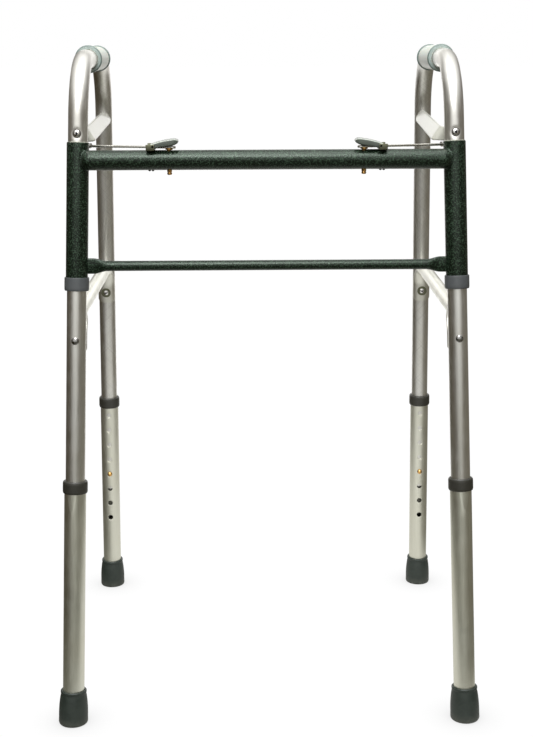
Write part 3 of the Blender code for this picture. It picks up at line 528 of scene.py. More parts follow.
def aluminium(name, colour, rough, streak, direction=None, scuffed=False):
    """Satin anodised tube with fine drawn lines along it, handling smudges and tone drift."""
    g = new_material(name)
    lengthwise = g.along(direction, 0.02) if direction else g.straight(0.02)
    lines = g.noise(lengthwise, 1500.0, 3.0, 0.65)
    bands = g.noise(lengthwise, 260.0)
    drift = g.noise(g.place(), 14.0)
    smudge = g.noise(g.place(), 55.0, 4.0, 0.6, 0.4)
    dark, light = spread(colour, streak)
    tone = g.ramp(g.sum((lines, 0.55), (bands, 0.45)), (0.30, dark), (0.70, light))
    warm = scaled((colour[0], colour[1] * 0.96, colour[2] * 0.88), 0.94)
    tone = g.blend(g.range(drift, 0.0, 0.35, 0.35, 0.75), tone, warm)
    gloss = g.sum(g.range(lines, *rough, 0.30, 0.70), g.range(smudge, -0.03, 0.05, 0.35, 0.7))
    surface = g.bump(lines, 0.10, 0.00005)
    if scuffed:
        behind = g.range(g.part(g.place(), "Y"), 0.12, 1.0, 0.02, 0.12)
        crossing = [g.noise(g.straight(0.03, twist), 620.0, 3.0, 0.7) for twist in (75.0, -75.0)]
        marks = g.math("MAXIMUM", *crossing)
        worn = g.times(behind, g.range(marks, 0.0, 1.0, 0.50, 0.68))
        tone = g.blend(g.times(worn, 0.34), tone, scaled(colour, 0.42))
        gloss = g.sum(gloss, (worn, 0.10))
        surface = g.bump(g.times(marks, behind), 0.35, 0.00012, surface)
    return g.shade(Base_Color=tone, Roughness=gloss, Metallic=1.0, Normal=surface, Anisotropic=0.35)


def hammer_paint(name):
    """Dark green hammer-finish paint: small cells with darker veins, raised flake and worn high spots."""
    g = new_material(name)
    place = g.place()
    wobble = g.node("TexNoise", {"Vector": place, "Scale": 350.0, "Detail": 2.0}).outputs["Color"]
    moved = g.vector("ADD", place, g.vector("SCALE", wobble, 0.0016).outputs[0]).outputs[0]
    cells = g.node("TexVoronoi", {"Vector": moved, "Scale": 600.0, "Smoothness": 0.45},
                   feature="SMOOTH_F1").outputs["Distance"]
    flake = g.noise(moved, 900.0, 3.0, 0.7)
    clump = g.noise(place, 160.0)
    paint = g.ramp(g.sum((cells, 0.9), (flake, 0.55), (clump, 0.10)),
                   (0.46, (0.0008, 0.0016, 0.0008)), (0.68, (0.0023, 0.0048, 0.0025)),
                   (0.84, (0.0072, 0.0140, 0.0076)), (0.96, (0.030, 0.051, 0.033)))
    surface = g.bump(g.sum(cells, (flake, 0.35)), 0.60, 0.00034)
    return g.shade(Base_Color=paint, Roughness=g.range(flake, 0.20, 0.36, 0.3, 0.7), Normal=surface,
                   Specular_Tint=(0.80, 1.0, 0.84, 1.0), Specular_IOR_Level=0.34,
                   Coat_Weight=0.12, Coat_Roughness=0.20)


def moulded(name, colour, rough, grain, depth, scuff, mottle, coat=0.0, sub=0.0):
    """Moulded plastic or vinyl: fine die grain, slight mottle and pale scuffs."""
    g = new_material(name)
    place = g.place()
    fine = g.noise(place, grain, 2.0, 0.6)
    patch = g.noise(place, 90.0, 3.0, 0.55)
    scratch = g.noise(place, 420.0, 5.0, 0.75, 1.5)
    dark, light = spread(colour, mottle)
    pale = scaled((colour[0] * 0.7 + 0.12, colour[1] * 0.7 + 0.12, colour[2] * 0.7 + 0.115), 1.2)
    tone = g.ramp(patch, (0.30, dark), (0.72, light))
    marked = g.blend(g.range(scratch, 0.0, scuff, 0.58, 0.80), tone, pale)
    gloss = g.sum(g.range(fine, rough - 0.05, rough + 0.08, 0.3, 0.7), g.range(patch, -0.03, 0.04, 0.3, 0.7))
    return g.shade(Base_Color=marked, Roughness=gloss, Normal=g.bump(fine, 0.35, depth), Coat_Weight=coat,
                   Subsurface_Weight=sub, Subsurface_Scale=0.004)


def bright_metal(name, colour, rough, dull, amount):
    """Plated or turned metal with hairline marks and a light tarnish."""
    g = new_material(name)
    place = g.place()
    hair = g.noise(g.node("Mapping", {"Vector": place, "Scale": (1, 1, 6)}).outputs[0], 700.0, 4.0, 0.7)
    spots = g.noise(place, 320.0, 4.0, 0.6)
    tone = g.ramp(hair, (0.3, scaled(colour, 0.92)), (0.7, scaled(colour, 1.06)))
    mixed = g.blend(g.range(spots, 0.0, amount, 0.5, 0.78), tone, dull)
    gloss = g.sum(g.range(hair, *rough, 0.3, 0.7), g.range(spots, 0.0, 0.15, 0.5, 0.8))
    return g.shade(Base_Color=mixed, Roughness=gloss, Metallic=1.0, Normal=g.bump(hair, 0.12, 0.00004))


def tip_rubber(name):
    """Moulded rubber, grey-green, with a dusty bloom that turns paler near the floor."""
    g = new_material(name)
    place = g.place()
    fine = g.noise(place, 1300.0, 3.0, 0.6)
    bloom = g.noise(place, 110.0, 4.0, 0.6, 0.6)
    foot = g.range(g.part(place, "Z"), 1.0, 0.0, 0.002, 0.012)
    tone = g.ramp(bloom, (0.3, (0.013, 0.020, 0.016)), (0.7, (0.022, 0.031, 0.025)))
    dusty = g.blend(g.times(foot, g.range(bloom, 0.2, 0.7, 0.3, 0.7)), tone, (0.070, 0.073, 0.060))
    return g.shade(Base_Color=dusty, Roughness=g.range(bloom, 0.42, 0.60, 0.3, 0.7),
                   Normal=g.bump(fine, 0.35, 0.00010))


LOWER = (0.77, 0.775, 0.69)
PAINT = hammer_paint("hammer_paint")
SIDE_TUBE = aluminium("side_tube_aluminium", (0.80, 0.795, 0.765), (0.30, 0.42), 0.10, scuffed=True)
BRACE = aluminium("brace_aluminium", (0.80, 0.80, 0.74), (0.38, 0.48), 0.05)
CREAM = moulded("brace_coat", (0.47, 0.47, 0.415), 0.38, 900.0, 0.00004, 0.05, 0.05, coat=0.25)
LEG = {}
for label in SIDES:
    for end, axis, rough, streak in (("front_", FRONT[label], (0.34, 0.46), 0.08),
                                     ("rear_", REAR[label], (0.38, 0.50), 0.07)):
        LEG[end + label] = aluminium("leg_aluminium_" + end + label, LOWER, rough, streak, axis[1])
VINYL = moulded("grip_vinyl", (0.48, 0.51, 0.455), 0.42, 1500.0, 0.00008, 0.06, 0.05, sub=0.06)
# Darker copies of the grip vinyl for the flange rims and end faces: painted shade.
VINYL_PAINTED_SHADE_RIM = moulded("grip_vinyl_painted_shade_rim", (0.15, 0.195, 0.18), 0.45, 1500.0, 0.00006, 0.10, 0.08)
VINYL_PAINTED_SHADE_FACE = moulded("grip_vinyl_painted_shade_face", (0.30, 0.36, 0.34), 0.42, 1500.0, 0.00006, 0.10, 0.08)
COLLAR = moulded("grey_collar", (0.080, 0.087, 0.092), 0.42, 1700.0, 0.00006, 0.12, 0.08)
LEG_COLLAR_GREY = moulded("leg_collar_grey", (0.029, 0.028, 0.022), 0.44, 1700.0, 0.00006, 0.14, 0.10)
BUSHING = moulded("pale_bushing", (0.48, 0.50, 0.42), 0.40, 1500.0, 0.00004, 0.10, 0.05)
PADDLE = moulded("paddle_plastic", (0.085, 0.10, 0.085), 0.34, 1600.0, 0.00004, 0.10, 0.06, coat=0.15)
# A paler copy of the paddle plastic for its upper edges: painted highlight.
PADDLE_PAINTED_HIGHLIGHT = moulded("paddle_painted_highlight", (0.46, 0.50, 0.44), 0.36, 1600.0, 0.00004, 0.10, 0.06, coat=0.15)
RUBBER = tip_rubber("tip_rubber")
BRASS = bright_metal("turned_brass", (0.78, 0.47, 0.17), (0.16, 0.30), (0.28, 0.14, 0.05), 0.45)
CHROME = bright_metal("bright_zinc", (0.72, 0.71, 0.70), (0.10, 0.24), (0.30, 0.27, 0.24), 0.25)
NICKEL = bright_metal("link_nickel", (0.84, 0.83, 0.78), (0.22, 0.32), (0.36, 0.32, 0.25), 0.30)
STEEL = bright_metal("rivet_steel", (0.34, 0.335, 0.33), (0.14, 0.24), (0.16, 0.14, 0.12), 0.30)
DARK = bright_metal("dark_steel", (0.09, 0.085, 0.08), (0.30, 0.45), (0.05, 0.04, 0.03), 0.40)
SOCKET = bright_metal("socket_shadow", (0.020, 0.020, 0.026), (0.45, 0.60), (0.01, 0.01, 0.01), 0.30)
BRACKET = bright_metal("bracket_steel", (0.17, 0.175, 0.12), (0.34, 0.48), (0.10, 0.09, 0.05), 0.60)
SPRING = bright_metal("spring_steel", (0.45, 0.44, 0.42), (0.20, 0.32), (0.2475, 0.242, 0.231), 0.30)


# ---- front weldment
def crossbar_reach(point):
    """How far a point is outside the crossbar."""
    out = hypot(point.y - CROSSBAR_Y, point.z - CROSSBAR_HEIGHT) - CROSSBAR_RADIUS
    beyond = abs(point.x) - CROSSBAR_HALF + CROSSBAR_ROUND
    if beyond > 0:
        out += CROSSBAR_ROUND - sqrt(max(CROSSBAR_ROUND ** 2 - beyond ** 2, 0.0))
    return max(out, beyond - CROSSBAR_ROUND)


def lower_bar_reach(point):
    """The same for the flattened end of the lower bar, which starts on the upright's axis."""
    centre = at_height(FRONT["right"], LOWER_BAR_HEIGHT)
    half_height, half_thickness = LOWER_BAR_END
    level = hypot((point.y - centre.y) / half_thickness, (point.z - centre.z) / half_height)
    return max((level - 1) * half_thickness, 1.0 if abs(point.x) > centre.x else 0.0)


def weld_line(axis, reach, turn, along):
    """The closed line where a bar's surface meets the sleeve, found outwards from a point inside it."""
    foot, up, side = axis
    backward, rightward = cross_directions(up)
    points = []
    for c, s in circle(96):
        low, high = 0.0, 0.030
        for _ in range(28):
            middle = (low + high) / 2
            angle = turn + middle * c / LEG_RADIUS
            outward = rightward * (-side * sin(angle)) - backward * cos(angle)
            point = foot + up * (along + middle * s) + outward * LEG_RADIUS
            if reach(point) < 0:
                low = middle
            else:
                high = middle
        points.append((point, outward))
    return points


def make_weld(name, axis, reach, turn, height, radius):
    """A rippled weld bead round a joint."""
    line = weld_line(axis, reach, turn, height / axis[1].z)
    rings = []
    travelled = 0.0
    for i, (point, outward) in enumerate(line):
        tangent = (line[(i + 1) % len(line)][0] - line[i - 1][0]).normalized()
        across = outward.cross(tangent).normalized()
        travelled += (point - line[i - 1][0]).length
        size = radius * (1 + 0.10 * sin(2 * pi * travelled / WELD_RIPPLE) + 0.16 * noise.noise(point * 240))
        centre = point + outward * (radius * 0.12)
        wide, high = across * (size * 1.15), outward * (size * 0.80)
        rings.append([centre + wide * c + high * s for c, s in circle(14)])
    build(name, shell(rings, rings, closed=True), PAINT, "front_frame", [], "green_hammer_paint", 60)


def make_crossbar():
    length = 2 * CROSSBAR_HALF
    end = [(0.0004, 0.0)]
    end += [(CROSSBAR_RADIUS - CROSSBAR_ROUND * (1 - s), CROSSBAR_ROUND * (1 - c)) for c, s in quarter(12, 0)]
    straight = [(CROSSBAR_RADIUS, length * (0.03 + 0.94 * i / 40)) for i in range(41)]
    profile = end + straight + [(radius, length - height) for radius, height in reversed(end)]
    placement = frame_matrix(Vector((-CROSSBAR_HALF, CROSSBAR_Y, CROSSBAR_HEIGHT)), Vector((1, 0, 0)))
    bar = to_object("crossbar_tube", spin(profile, placement, 72))
    cuts = []
    for side in SIDES.values():
        at = Vector((side * PLUNGER_X, CROSSBAR_Y, CROSSBAR_HEIGHT))
        cuts.append(rod(at + Z_UP * 0.0040, at + Z_UP * 0.020, COUNTERBORE_RADIUS, 40))
        cuts.append(rod(at - Z_UP * 0.020, at - Z_UP * 0.0040, PLUNGER_RADIUS + 0.0005, 40))
    cut(bar, cuts)
    soften(bar, 0.0003, 2, 40)
    place(bar, PAINT, "front_frame", ["crossbar"], "green_hammer_paint")


def make_lower_bar():
    """A thin tube with flattened ends."""
    centre = at_height(FRONT["right"], LOWER_BAR_HEIGHT)
    half = centre.x - LEG_RADIUS + 0.0050
    end = [half - 0.034 * (i / 22) for i in range(23)]
    inner = end[-1]
    stations = end + [inner - 2 * inner * i / 30 for i in range(1, 30)] + [-x for x in reversed(end)]
    flat_height, flat_thickness = LOWER_BAR_END
    rings = []
    places = []
    for x in stations:
        flat = smooth_step(1 - (half - 0.012 - abs(x)) / 0.018)
        height = mix(LOWER_BAR_RADIUS, flat_height, flat)
        thickness = mix(LOWER_BAR_RADIUS, flat_thickness, flat)
        power = mix(1.0, 0.72, flat)
        outline = [(thickness * copysign(abs(c) ** power, c), height * s) for c, s in circle(40)]
        rings.append([Vector((x, centre.y + a, centre.z + b)) for a, b in outline])
        places.append([Vector((a, b, x)) for a, b in outline])
    build("lower_tie_bar", shell(rings, places), PAINT, "front_frame", ["lower_bar"], "green_hammer_paint")


def make_sleeve(label):
    axis = FRONT[label]
    placement = frame_matrix(*axis[:2])
    low, high = SLEEVE
    bore = LEG_BORE + 0.0004
    outer = [(bore, low), (LEG_RADIUS, low), (LEG_RADIUS, high), (bore, high)]
    build("sleeve_tube_" + label, ring_piece(outer, 0.0005, 4, placement),
          PAINT, "front_frame", ["sleeve_" + label], "green_hammer_paint")
    inside, wall, rim = LEG_BORE - 0.0001, LEG_BORE + 0.0003, LEG_RADIUS - 0.0004
    lip = [(inside, high - 0.020), (wall, high - 0.020), (wall, high + 0.0003),
           (rim, high + 0.0003), (rim, high + 0.0011), (inside, high + 0.0011)]
    build("sleeve_bushing_" + label, ring_piece(lip, 0.0003, 3, placement),
          BUSHING, "front_frame", [], "pale_plastic")
    low, high = SLEEVE_COLLAR
    radius = SLEEVE_COLLAR_RADIUS
    inside = LEG_RADIUS + 0.0001
    profile = [(LEG_BORE, low), (radius - 0.0004, low), (radius, low + 0.0030), (radius, high - 0.0028),
               (radius - 0.0001, high), (inside, high), (inside, low + 0.0036), (LEG_BORE, low + 0.0036)]
    build("sleeve_collar_ring_" + label, ring_piece(profile, 0.0011, 5, placement),
          COLLAR, "front_frame", ["sleeve_collar_" + label], "grey_plastic")
    make_weld("crossbar_weld_" + label, axis, crossbar_reach, radians(56), CROSSBAR_HEIGHT, 0.0022)
    make_weld("lower_bar_weld_" + label, axis, lower_bar_reach, radians(90), LOWER_BAR_HEIGHT, 0.0012)


# ---- side frames
def make_side_tube(label):
    """The bent tube, with a shallow dimple under the upper screw."""
    front, rear = FRONT[label], REAR[label]
    corners = [beside(front, 0, 0, INNER_TUBE_END), at_height(front, GRIP_HEIGHT),
               at_height(rear, GRIP_HEIGHT), beside(rear, 0, 0, INNER_TUBE_END)]
    path = divided(filleted_path(corners, BEND_RADIUS, 26), 0.0016)
    dimple = beside(front, 0, -TUBE_RADIUS, UPPER_SCREW_ALONG)
    turn = circle(64)
    outer = []
    inner = []
    places = []
    for point, _, lateral, normal, travelled in path_frames(path, Y_BACK):
        around = [lateral * c + normal * s for c, s in turn]
        ring = [point + outward * TUBE_RADIUS for outward in around]
        sinks = [DIMPLE_DEPTH * smooth_step(1 - ((spot - dimple).length - DIMPLE_FLAT) / DIMPLE_EDGE)
                 for spot in ring]
        outer.append([spot - outward * sink for spot, outward, sink in zip(ring, around, sinks)])
        inner.append([point + outward * (TUBE_RADIUS - TUBE_WALL) for outward in around])
        places.append([Vector((TUBE_RADIUS * c, TUBE_RADIUS * s, travelled)) for c, s in turn])
    build("side_tube_bent_" + label, shell(outer + inner[::-1], places + places[::-1], True),
          SIDE_TUBE, "side_" + label, ["side_tube_" + label], "satin_aluminium")


def make_grip(label):
    """Vinyl sleeve with a rolled flange at each end; its rims and end faces get darker vinyl: painted shade.
    """
    corners = [at_height(axis, GRIP_HEIGHT) for axis in (FRONT[label], REAR[label])]
    direction = (corners[1] - corners[0]).normalized()
    middle = (corners[0] + corners[1]) / 2 + direction * GRIP_BACK
    placement = frame_matrix(middle, direction, Z_UP)
    half = GRIP_LENGTH / 2
    radius, flange = GRIP_RADIUS, GRIP_FLANGE_RADIUS
    end = [(LEG_BORE, 0.0060), (LEG_BORE, 0), (flange - 0.0016, 0), (flange - 0.0002, 0.0012),
           (flange, 0.0026), (flange - 0.0006, 0.0040), (radius - 0.0004, 0.0048),
           (radius - 0.0006, 0.0060), (radius + 0.0002, 0.0076)]
    end = [(r, h - half) for r, h in end]
    between = [(radius + 0.0001 + 0.0003 * sin(pi * i / 40), mix(0.0080 - half, half - 0.0080, i / 40))
               for i in range(1, 40)]
    bm = ring_piece(end + between + [(r, -h) for r, h in reversed(end)], 0.0006, 4, placement)
    inverse = placement.inverted()
    for face in bm.faces:
        centre = inverse @ face.calc_center_median()
        from_end = half - abs(centre.z)
        out = hypot(centre.x, centre.y)
        # The flange rim and end face take the darker vinyl copies: painted shade.
        if from_end < 0.0072 and out > flange - 0.0021:
            face.material_index = 1
        elif from_end < 0.0060 and out > LEG_RADIUS:
            face.material_index = 2
    build("hand_grip_" + label, bm,
          [VINYL, VINYL_PAINTED_SHADE_RIM, VINYL_PAINTED_SHADE_FACE], "side_" + label, ["grip_" + label], "grip_vinyl")


def make_upper_brace(label):
    """A flat strap: square to the front upright at its tab, then leaning back as it runs to the rear."""
    front, rear = FRONT[label], REAR[label]
    side = SIDES[label]
    start = at_height(front, UPPER_BRACE_FRONT_Z, -0.0095, UPPER_BRACE_BACK)
    corner = at_height(front, UPPER_BRACE_FRONT_Z, UPPER_BRACE_CORNER[label], UPPER_BRACE_BACK)
    end = at_height(rear, UPPER_BRACE_REAR_Z, *UPPER_BRACE_END)
    path = divided(filleted_path([start, corner, end], UPPER_BRACE_FILLET, 8), 0.004)
    bend = (corner - start).length
    frames = []
    for point, tangent, _, _, travelled in path_frames(path, Z_UP):
        lean = UPPER_BRACE_LEAN * smooth_step(travelled / bend)
        upward = Vector((side * sin(lean), 0, cos(lean)))
        frames.append((point, tangent, upward.cross(tangent).normalized(), upward, travelled))
    total = frames[-1][4]

    def section(travelled):
        thickness = mix(UPPER_BRACE_TAB, UPPER_BRACE_STRAP, smooth_step((travelled - bend) / 0.05))
        front_tip = smooth_step(1 - travelled / 0.0050)
        rear_tip = max(1 - (total - travelled) / UPPER_BRACE_TAPER, 0.0)
        height = UPPER_BRACE_HALF_HEIGHT * (1 - 0.30 * front_tip ** 2 - 0.42 * rear_tip ** 2.5)
        return rounded_outline(thickness, height, thickness * 0.80, 7)

    brace = to_object("upper_brace_bar_" + label, swept(frames, section))
    cut(brace, [rod(beside(rear, 0, 0, 0.74), beside(rear, 0, 0, 0.83), TUBE_RADIUS + 0.00005, 64)])
    place(brace, CREAM, "side_" + label, ["upper_brace_" + label], "cream_brace")


def saddle_outline(half_width, half_thickness, curvature):
    """An oval outline, bent round a tube if it has a curvature."""
    points = [(half_width * c, half_thickness * s) for c, s in circle(48)]
    if curvature > 1.0:
        radius = 1 / curvature
        points = [(sin(x * curvature) * (radius + y), cos(x * curvature) * (radius + y) - radius)
                  for x, y in points]
    return points


def make_lower_brace(label):
    """A tube whose ends are flattened to tabs that lie against the uprights."""
    front, rear = FRONT[label], REAR[label]
    half_width, half_thickness = LOWER_BRACE_TAB
    stand_off = LEG_BORE + half_thickness
    points = [beside(front, 0, stand_off, LOWER_BRACE_FRONT_END),
              at_height(front, LOWER_BRACE_Z, 0, stand_off),
              at_height(rear, LOWER_BRACE_Z, 0, -stand_off),
              beside(rear, 0, -stand_off, LOWER_BRACE_REAR_END)]
    frames = path_frames(divided(filleted_path(points, LOWER_BRACE_BEND, 14), 0.0022), Y_BACK)
    total = frames[-1][4]

    def roundness(travelled):
        from_end = min(travelled, total - travelled)
        return from_end, smooth_step((from_end - LOWER_BRACE_FLAT) / LOWER_BRACE_CHANGE)

    def section(travelled):
        from_end, tube = roundness(travelled)
        tip = smooth_step(1 - from_end / 0.0060)
        width = mix(half_width, LOWER_BRACE_RADIUS, tube) * (1 - 0.30 * tip * tip)
        return saddle_outline(width, mix(half_thickness, LOWER_BRACE_RADIUS, tube), (1 - tube) / stand_off)

    rise = LOWER_BRACE_RADIUS - half_thickness
    lifted = [(point + normal * (rise * roundness(travelled)[1]), tangent, lateral, normal, travelled)
              for point, tangent, lateral, normal, travelled in frames]
    build("lower_brace_tube_" + label, swept(lifted, section),
          BRACE, "side_" + label, ["lower_brace_" + label], "cream_brace")


def make_head(name, seat, direction, size, socket, material, body, nodes=(), slot="zinc_steel"):
    """A domed fastener head with a hexagon socket or, without one, a small centre mark."""
    radius, height = size
    reference = Z_UP if abs(direction.normalized().z) < 0.8 else Y_BACK
    placement = frame_matrix(seat, direction, reference)
    shank = radius * 0.55
    profile = [(0.0002, -0.0030), (shank, -0.0030), (shank, -0.0002), (radius * 0.97, -0.0002),
               (radius, height * 0.10)]
    profile += [(max(radius * c, 0.0002), height * (0.12 + 0.88 * s)) for c, s in quarter(12)]
    piece = to_object(name, spin(profile, placement, 48))
    if socket:
        floor = placement @ Matrix.Translation((0, 0, height * 0.25))
        cut(piece, [spin([(socket, 0.0), (socket, height * 2)], floor, 6),
                    spin([(socket * 0.9, height * 0.55), (socket * 1.5, height * 1.6)], floor, 32)])
        inverse = placement.inverted()
        for polygon in piece.data.polygons:
            spot = inverse @ polygon.center
            if hypot(spot.x, spot.y) < socket * 1.02 and spot.z < height * 0.9:
                polygon.material_index = 1
        material = [material, SOCKET]
    else:
        mark = placement @ Matrix.Translation((0, 0, height * 0.93))
        cut(piece, [spin([(radius * 0.10, 0.0), (radius * 0.34, height * 0.5)], mark, 32)])
    soften(piece, 0.00018, 2, 32)
    place(piece, material, body, nodes, slot, 30)
    return placement


def make_washer(name, placement, inner, outer, material, body, slot):
    flat = [(inner, -0.0001), (outer, -0.0001), (outer, 0.0007), (inner, 0.0007)]
    below = placement @ Matrix.Translation((0, 0, -0.0004))
    build(name, ring_piece(flat, 0.0003, 3, below, 48), material, body, [], slot, 30)


def make_fasteners(label):
    """Screws, bolts and rivets of one side: heads towards the front (-1) or the back (1)."""
    body = "side_" + label
    front, rear = FRONT[label], REAR[label]
    skin = TUBE_RADIUS + FIT
    tab = 2 * LOWER_BRACE_TAB[1]
    rear_rivet_along = UPPER_BRACE_REAR_Z / rear[1].z
    behind_tab = UPPER_BRACE_BACK + UPPER_BRACE_TAB - 0.0001
    at_tube = skin - 0.0002
    rows = (
        (CHROME, "upper_screw_head_", front, -1, 0.0004 - skin, UPPER_SCREW_ALONG, 0.0046, 0.0022, 0.0017),
        (STEEL, "lower_rivet_head_", front, -1, -at_tube, LOWER_RIVET_ALONG, 0.0050, 0.0028, 0),
        (CHROME, "lower_rivet_tail_", front, 1, at_tube + tab, LOWER_RIVET_ALONG, 0.0042, 0.0018, 0),
        (CHROME, "rear_bolt_head_", rear, -1, 0.0003 - skin - tab, REAR_BOLT_ALONG, 0.0040, 0.0022, 0.0015),
        (CHROME, "rear_bolt_nut_", rear, 1, at_tube, REAR_BOLT_ALONG, 0.0046, 0.0022, 0),
        (CHROME, "rear_rivet_head_", rear, 1, at_tube, rear_rivet_along, 0.0048, 0.0022, 0),
        (CHROME, "upper_screw_nut_", front, 1, behind_tab, UPPER_SCREW_ALONG, 0.0044, 0.0020, 0.0015))
    washers = {"upper_screw_head_": (0.0023, 0.0055, DARK, body, "dark_steel"),
               "rear_bolt_head_": (0.0020, 0.0074, BRACKET, body, "zinc_steel")}
    for material, name, axis, facing, back, along, radius, height, socket in rows:
        node, _, kind = name.rpartition("head_")
        nodes = [] if kind else [node + label]
        direction = cross_directions(axis[1])[0] * facing
        placement = make_head(name + label, beside(axis, 0, back, along), direction, (radius, height), socket,
                              material, body, nodes)
        if name in washers:
            make_washer(name + label + "_washer", placement, *washers[name])


# ---- legs
def make_leg(name, axis, facing):
    body = "leg_" + name
    placement = frame_matrix(*axis[:2])
    outside = [(LEG_RADIUS, mix(LEG_BOTTOM, LEG_TOP, i / 60)) for i in range(1, 60)]
    profile = [(LEG_BORE, LEG_BOTTOM), (LEG_RADIUS, LEG_BOTTOM), *outside,
               (LEG_RADIUS, LEG_TOP), (LEG_BORE, LEG_TOP)]
    tube = to_object("leg_tube_lower_" + name, spin(profile, placement, 72, True))
    holes = []
    for i in range(HOLE_COUNT):
        along = HOLE_TOP - i * HOLE_PITCH
        ends = [beside(axis, 0, facing * back, along) for back in (0.008, 0.020)]
        holes.append(rod(*ends, HOLE_RADIUS, 36))
    cut(tube, holes)
    soften(tube, 0.00025, 2, 40)
    place(tube, LEG[name], body, ["leg_tube_" + name], "champagne_aluminium", 30)

    low, high = LEG_COLLAR
    radius, inside, shoulder = LEG_COLLAR_RADIUS, LEG_RADIUS + 0.0001, LEG_TOP + 0.0001
    profile = [(inside, low), (radius - 0.0006, low), (radius, low + 0.0022), (radius, high - 0.0034),
               (radius - 0.0004, high - 0.0012), (radius - 0.0014, high), (LEG_BORE, high),
               (LEG_BORE, shoulder), (inside, shoulder)]
    build("leg_collar_ring_" + name, ring_piece(profile, 0.0009, 5, placement),
          LEG_COLLAR_GREY, body, ["leg_collar_" + name], "grey_plastic")
    make_tip(name, placement, body)


def make_tip(name, placement, body):
    """Rubber tip: a thin lip, a barrel-shaped side and a rolled foot, cut level at the floor."""
    inside, top, base = LEG_RADIUS + 0.0001, TIP_TOP_RADIUS, TIP_BASE_RADIUS
    rows = [(inside, -0.0040), (inside, 0.0), (top - 0.0008, 0.0), (top + 0.0001, -0.0010),
            (top + 0.0001, -0.0032), (top - 0.0004, -0.0042), (top - 0.0003, -0.0050)]
    rows = [(radius, TIP_HEIGHT + drop) for radius, drop in rows]
    for i in range(1, 16):
        t = i / 15
        radius = mix(top, base - 0.0004, t) + 0.0007 * sin(pi * t) ** 0.8
        rows.append((radius, mix(TIP_HEIGHT - 0.0060, 0.0095, t)))
    for i, (c, s) in enumerate(quarter(9)):
        rows.append((base - 0.0026 + 0.0024 * c, 0.0032 - 0.0026 * s - 0.0030 * ((i + 1) / 9)))
    rows += [(0.0150, -0.0060), (0.0004, -0.0060)]
    bm = spin(rounded(rows, 0.0006, 3), placement, 72)
    everything = list(bm.verts) + list(bm.edges) + list(bm.faces)
    sliced = bmesh.ops.bisect_plane(bm, geom=everything, plane_co=(0, 0, 0), plane_no=(0, 0, -1),
                                    clear_outer=True, dist=1e-7)
    rim = [item for item in sliced["geom_cut"] if isinstance(item, bmesh.types.BMEdge)]
    bmesh.ops.contextual_create(bm, geom=rim)
    build("rubber_tip_" + name, bm, RUBBER, body, ["tip_" + name], "tip_rubber", 50)


def make_button(name, axis, facing):
    direction = cross_directions(axis[1])[0] * facing
    placement = frame_matrix(beside(axis, 0, 0, BUTTON_ALONG), direction, axis[1])
    shank = BUTTON_RADIUS
    profile = [(0.0003, 0.0088), (0.0047, 0.0088), (0.0047, 0.0097), (shank, 0.0099), (shank, 0.0148)]
    profile += [(max(shank * c, 0.0002), 0.0148 + 0.0025 * s) for c, s in quarter(10)]
    build("snap_button_" + name, spin(profile, placement, 40),
          BRASS, "button_" + name, ["button_" + name], "brass", 50)


# ---- latch
def make_bracket(label):
    """Saddle bracket with rounded walls and thin lips, riveted to the crossbar."""
    side, y = SIDES[label], CROSSBAR_Y
    x0, x1 = sorted((side * BRACKET_X[0], side * BRACKET_X[1]))
    y0, y1 = y + BRACKET_Y[0], y + BRACKET_Y[1]
    centre = Vector((0, y, CROSSBAR_HEIGHT))
    reach = Vector((0.20, 0, 0))
    block = box((x0, y0, CROSSBAR_TOP + 0.0002), (x1, y1, BRACKET_TOP))
    bracket = to_object("saddle_bracket_" + label, block)
    cut(bracket, [box((x0 + 0.0008, y - 0.0050, CROSSBAR_TOP - 0.0015),
                      (x1 - 0.0008, y + 0.0050, CROSSBAR_TOP + 0.0006))], "UNION")
    cut(bracket, [box((x0 - 0.01, y0 + BRACKET_WALL, BRACKET_FLOOR),
                      (x1 + 0.01, y1 - BRACKET_WALL, BRACKET_TOP + 0.01)),
                  rod(centre - reach, centre + reach, CROSSBAR_RADIUS + 0.0001, 72)])
    soften(bracket, 0.0005, 3, 50)
    place(bracket, BRACKET, "front_frame", ["latch_bracket_" + label], "bracket_steel", 30)
    middle = side * (BRACKET_X[0] + BRACKET_X[1]) / 2
    low = CROSSBAR_HEIGHT - CROSSBAR_RADIUS + 0.0004
    for name, x, z, direction, size, nodes in (
            ("tail_%s_0", middle - 0.0021, low, -Z_UP, (0.0018, 0.0019), ["bracket_rivet_" + label]),
            ("tail_%s_1", middle + 0.0021, low, -Z_UP, (0.0018, 0.0019), []),
            ("head_%s", middle, BRACKET_FLOOR, Z_UP, (0.0038, 0.0007), [])):
        make_head("bracket_rivet_" + name % label, Vector((x, y, z)), direction, size, 0, DARK,
                  "front_frame", nodes, "dark_steel")


def paddle_section(distance, reach):
    """Half width, bottom and top of the paddle at a distance from its pivot."""
    nose = sqrt(max(1 - max((reach - 0.78) / 0.222, 0) ** 2, 0.0))
    rise = sin(PADDLE_SLOPE) * distance
    swell = sin(pi * reach)
    top = 0.0034 + 1.10 * rise + 0.0012 * swell - 0.0034 * (1 - nose)
    bottom = -0.0024 + 0.74 * rise * smooth_step(distance / 0.010) + 0.0030 * (1 - nose)
    return 0.5 * (PADDLE_WIDTH + 0.0010 * swell) * mix(0.55, 1.0, nose), bottom, top


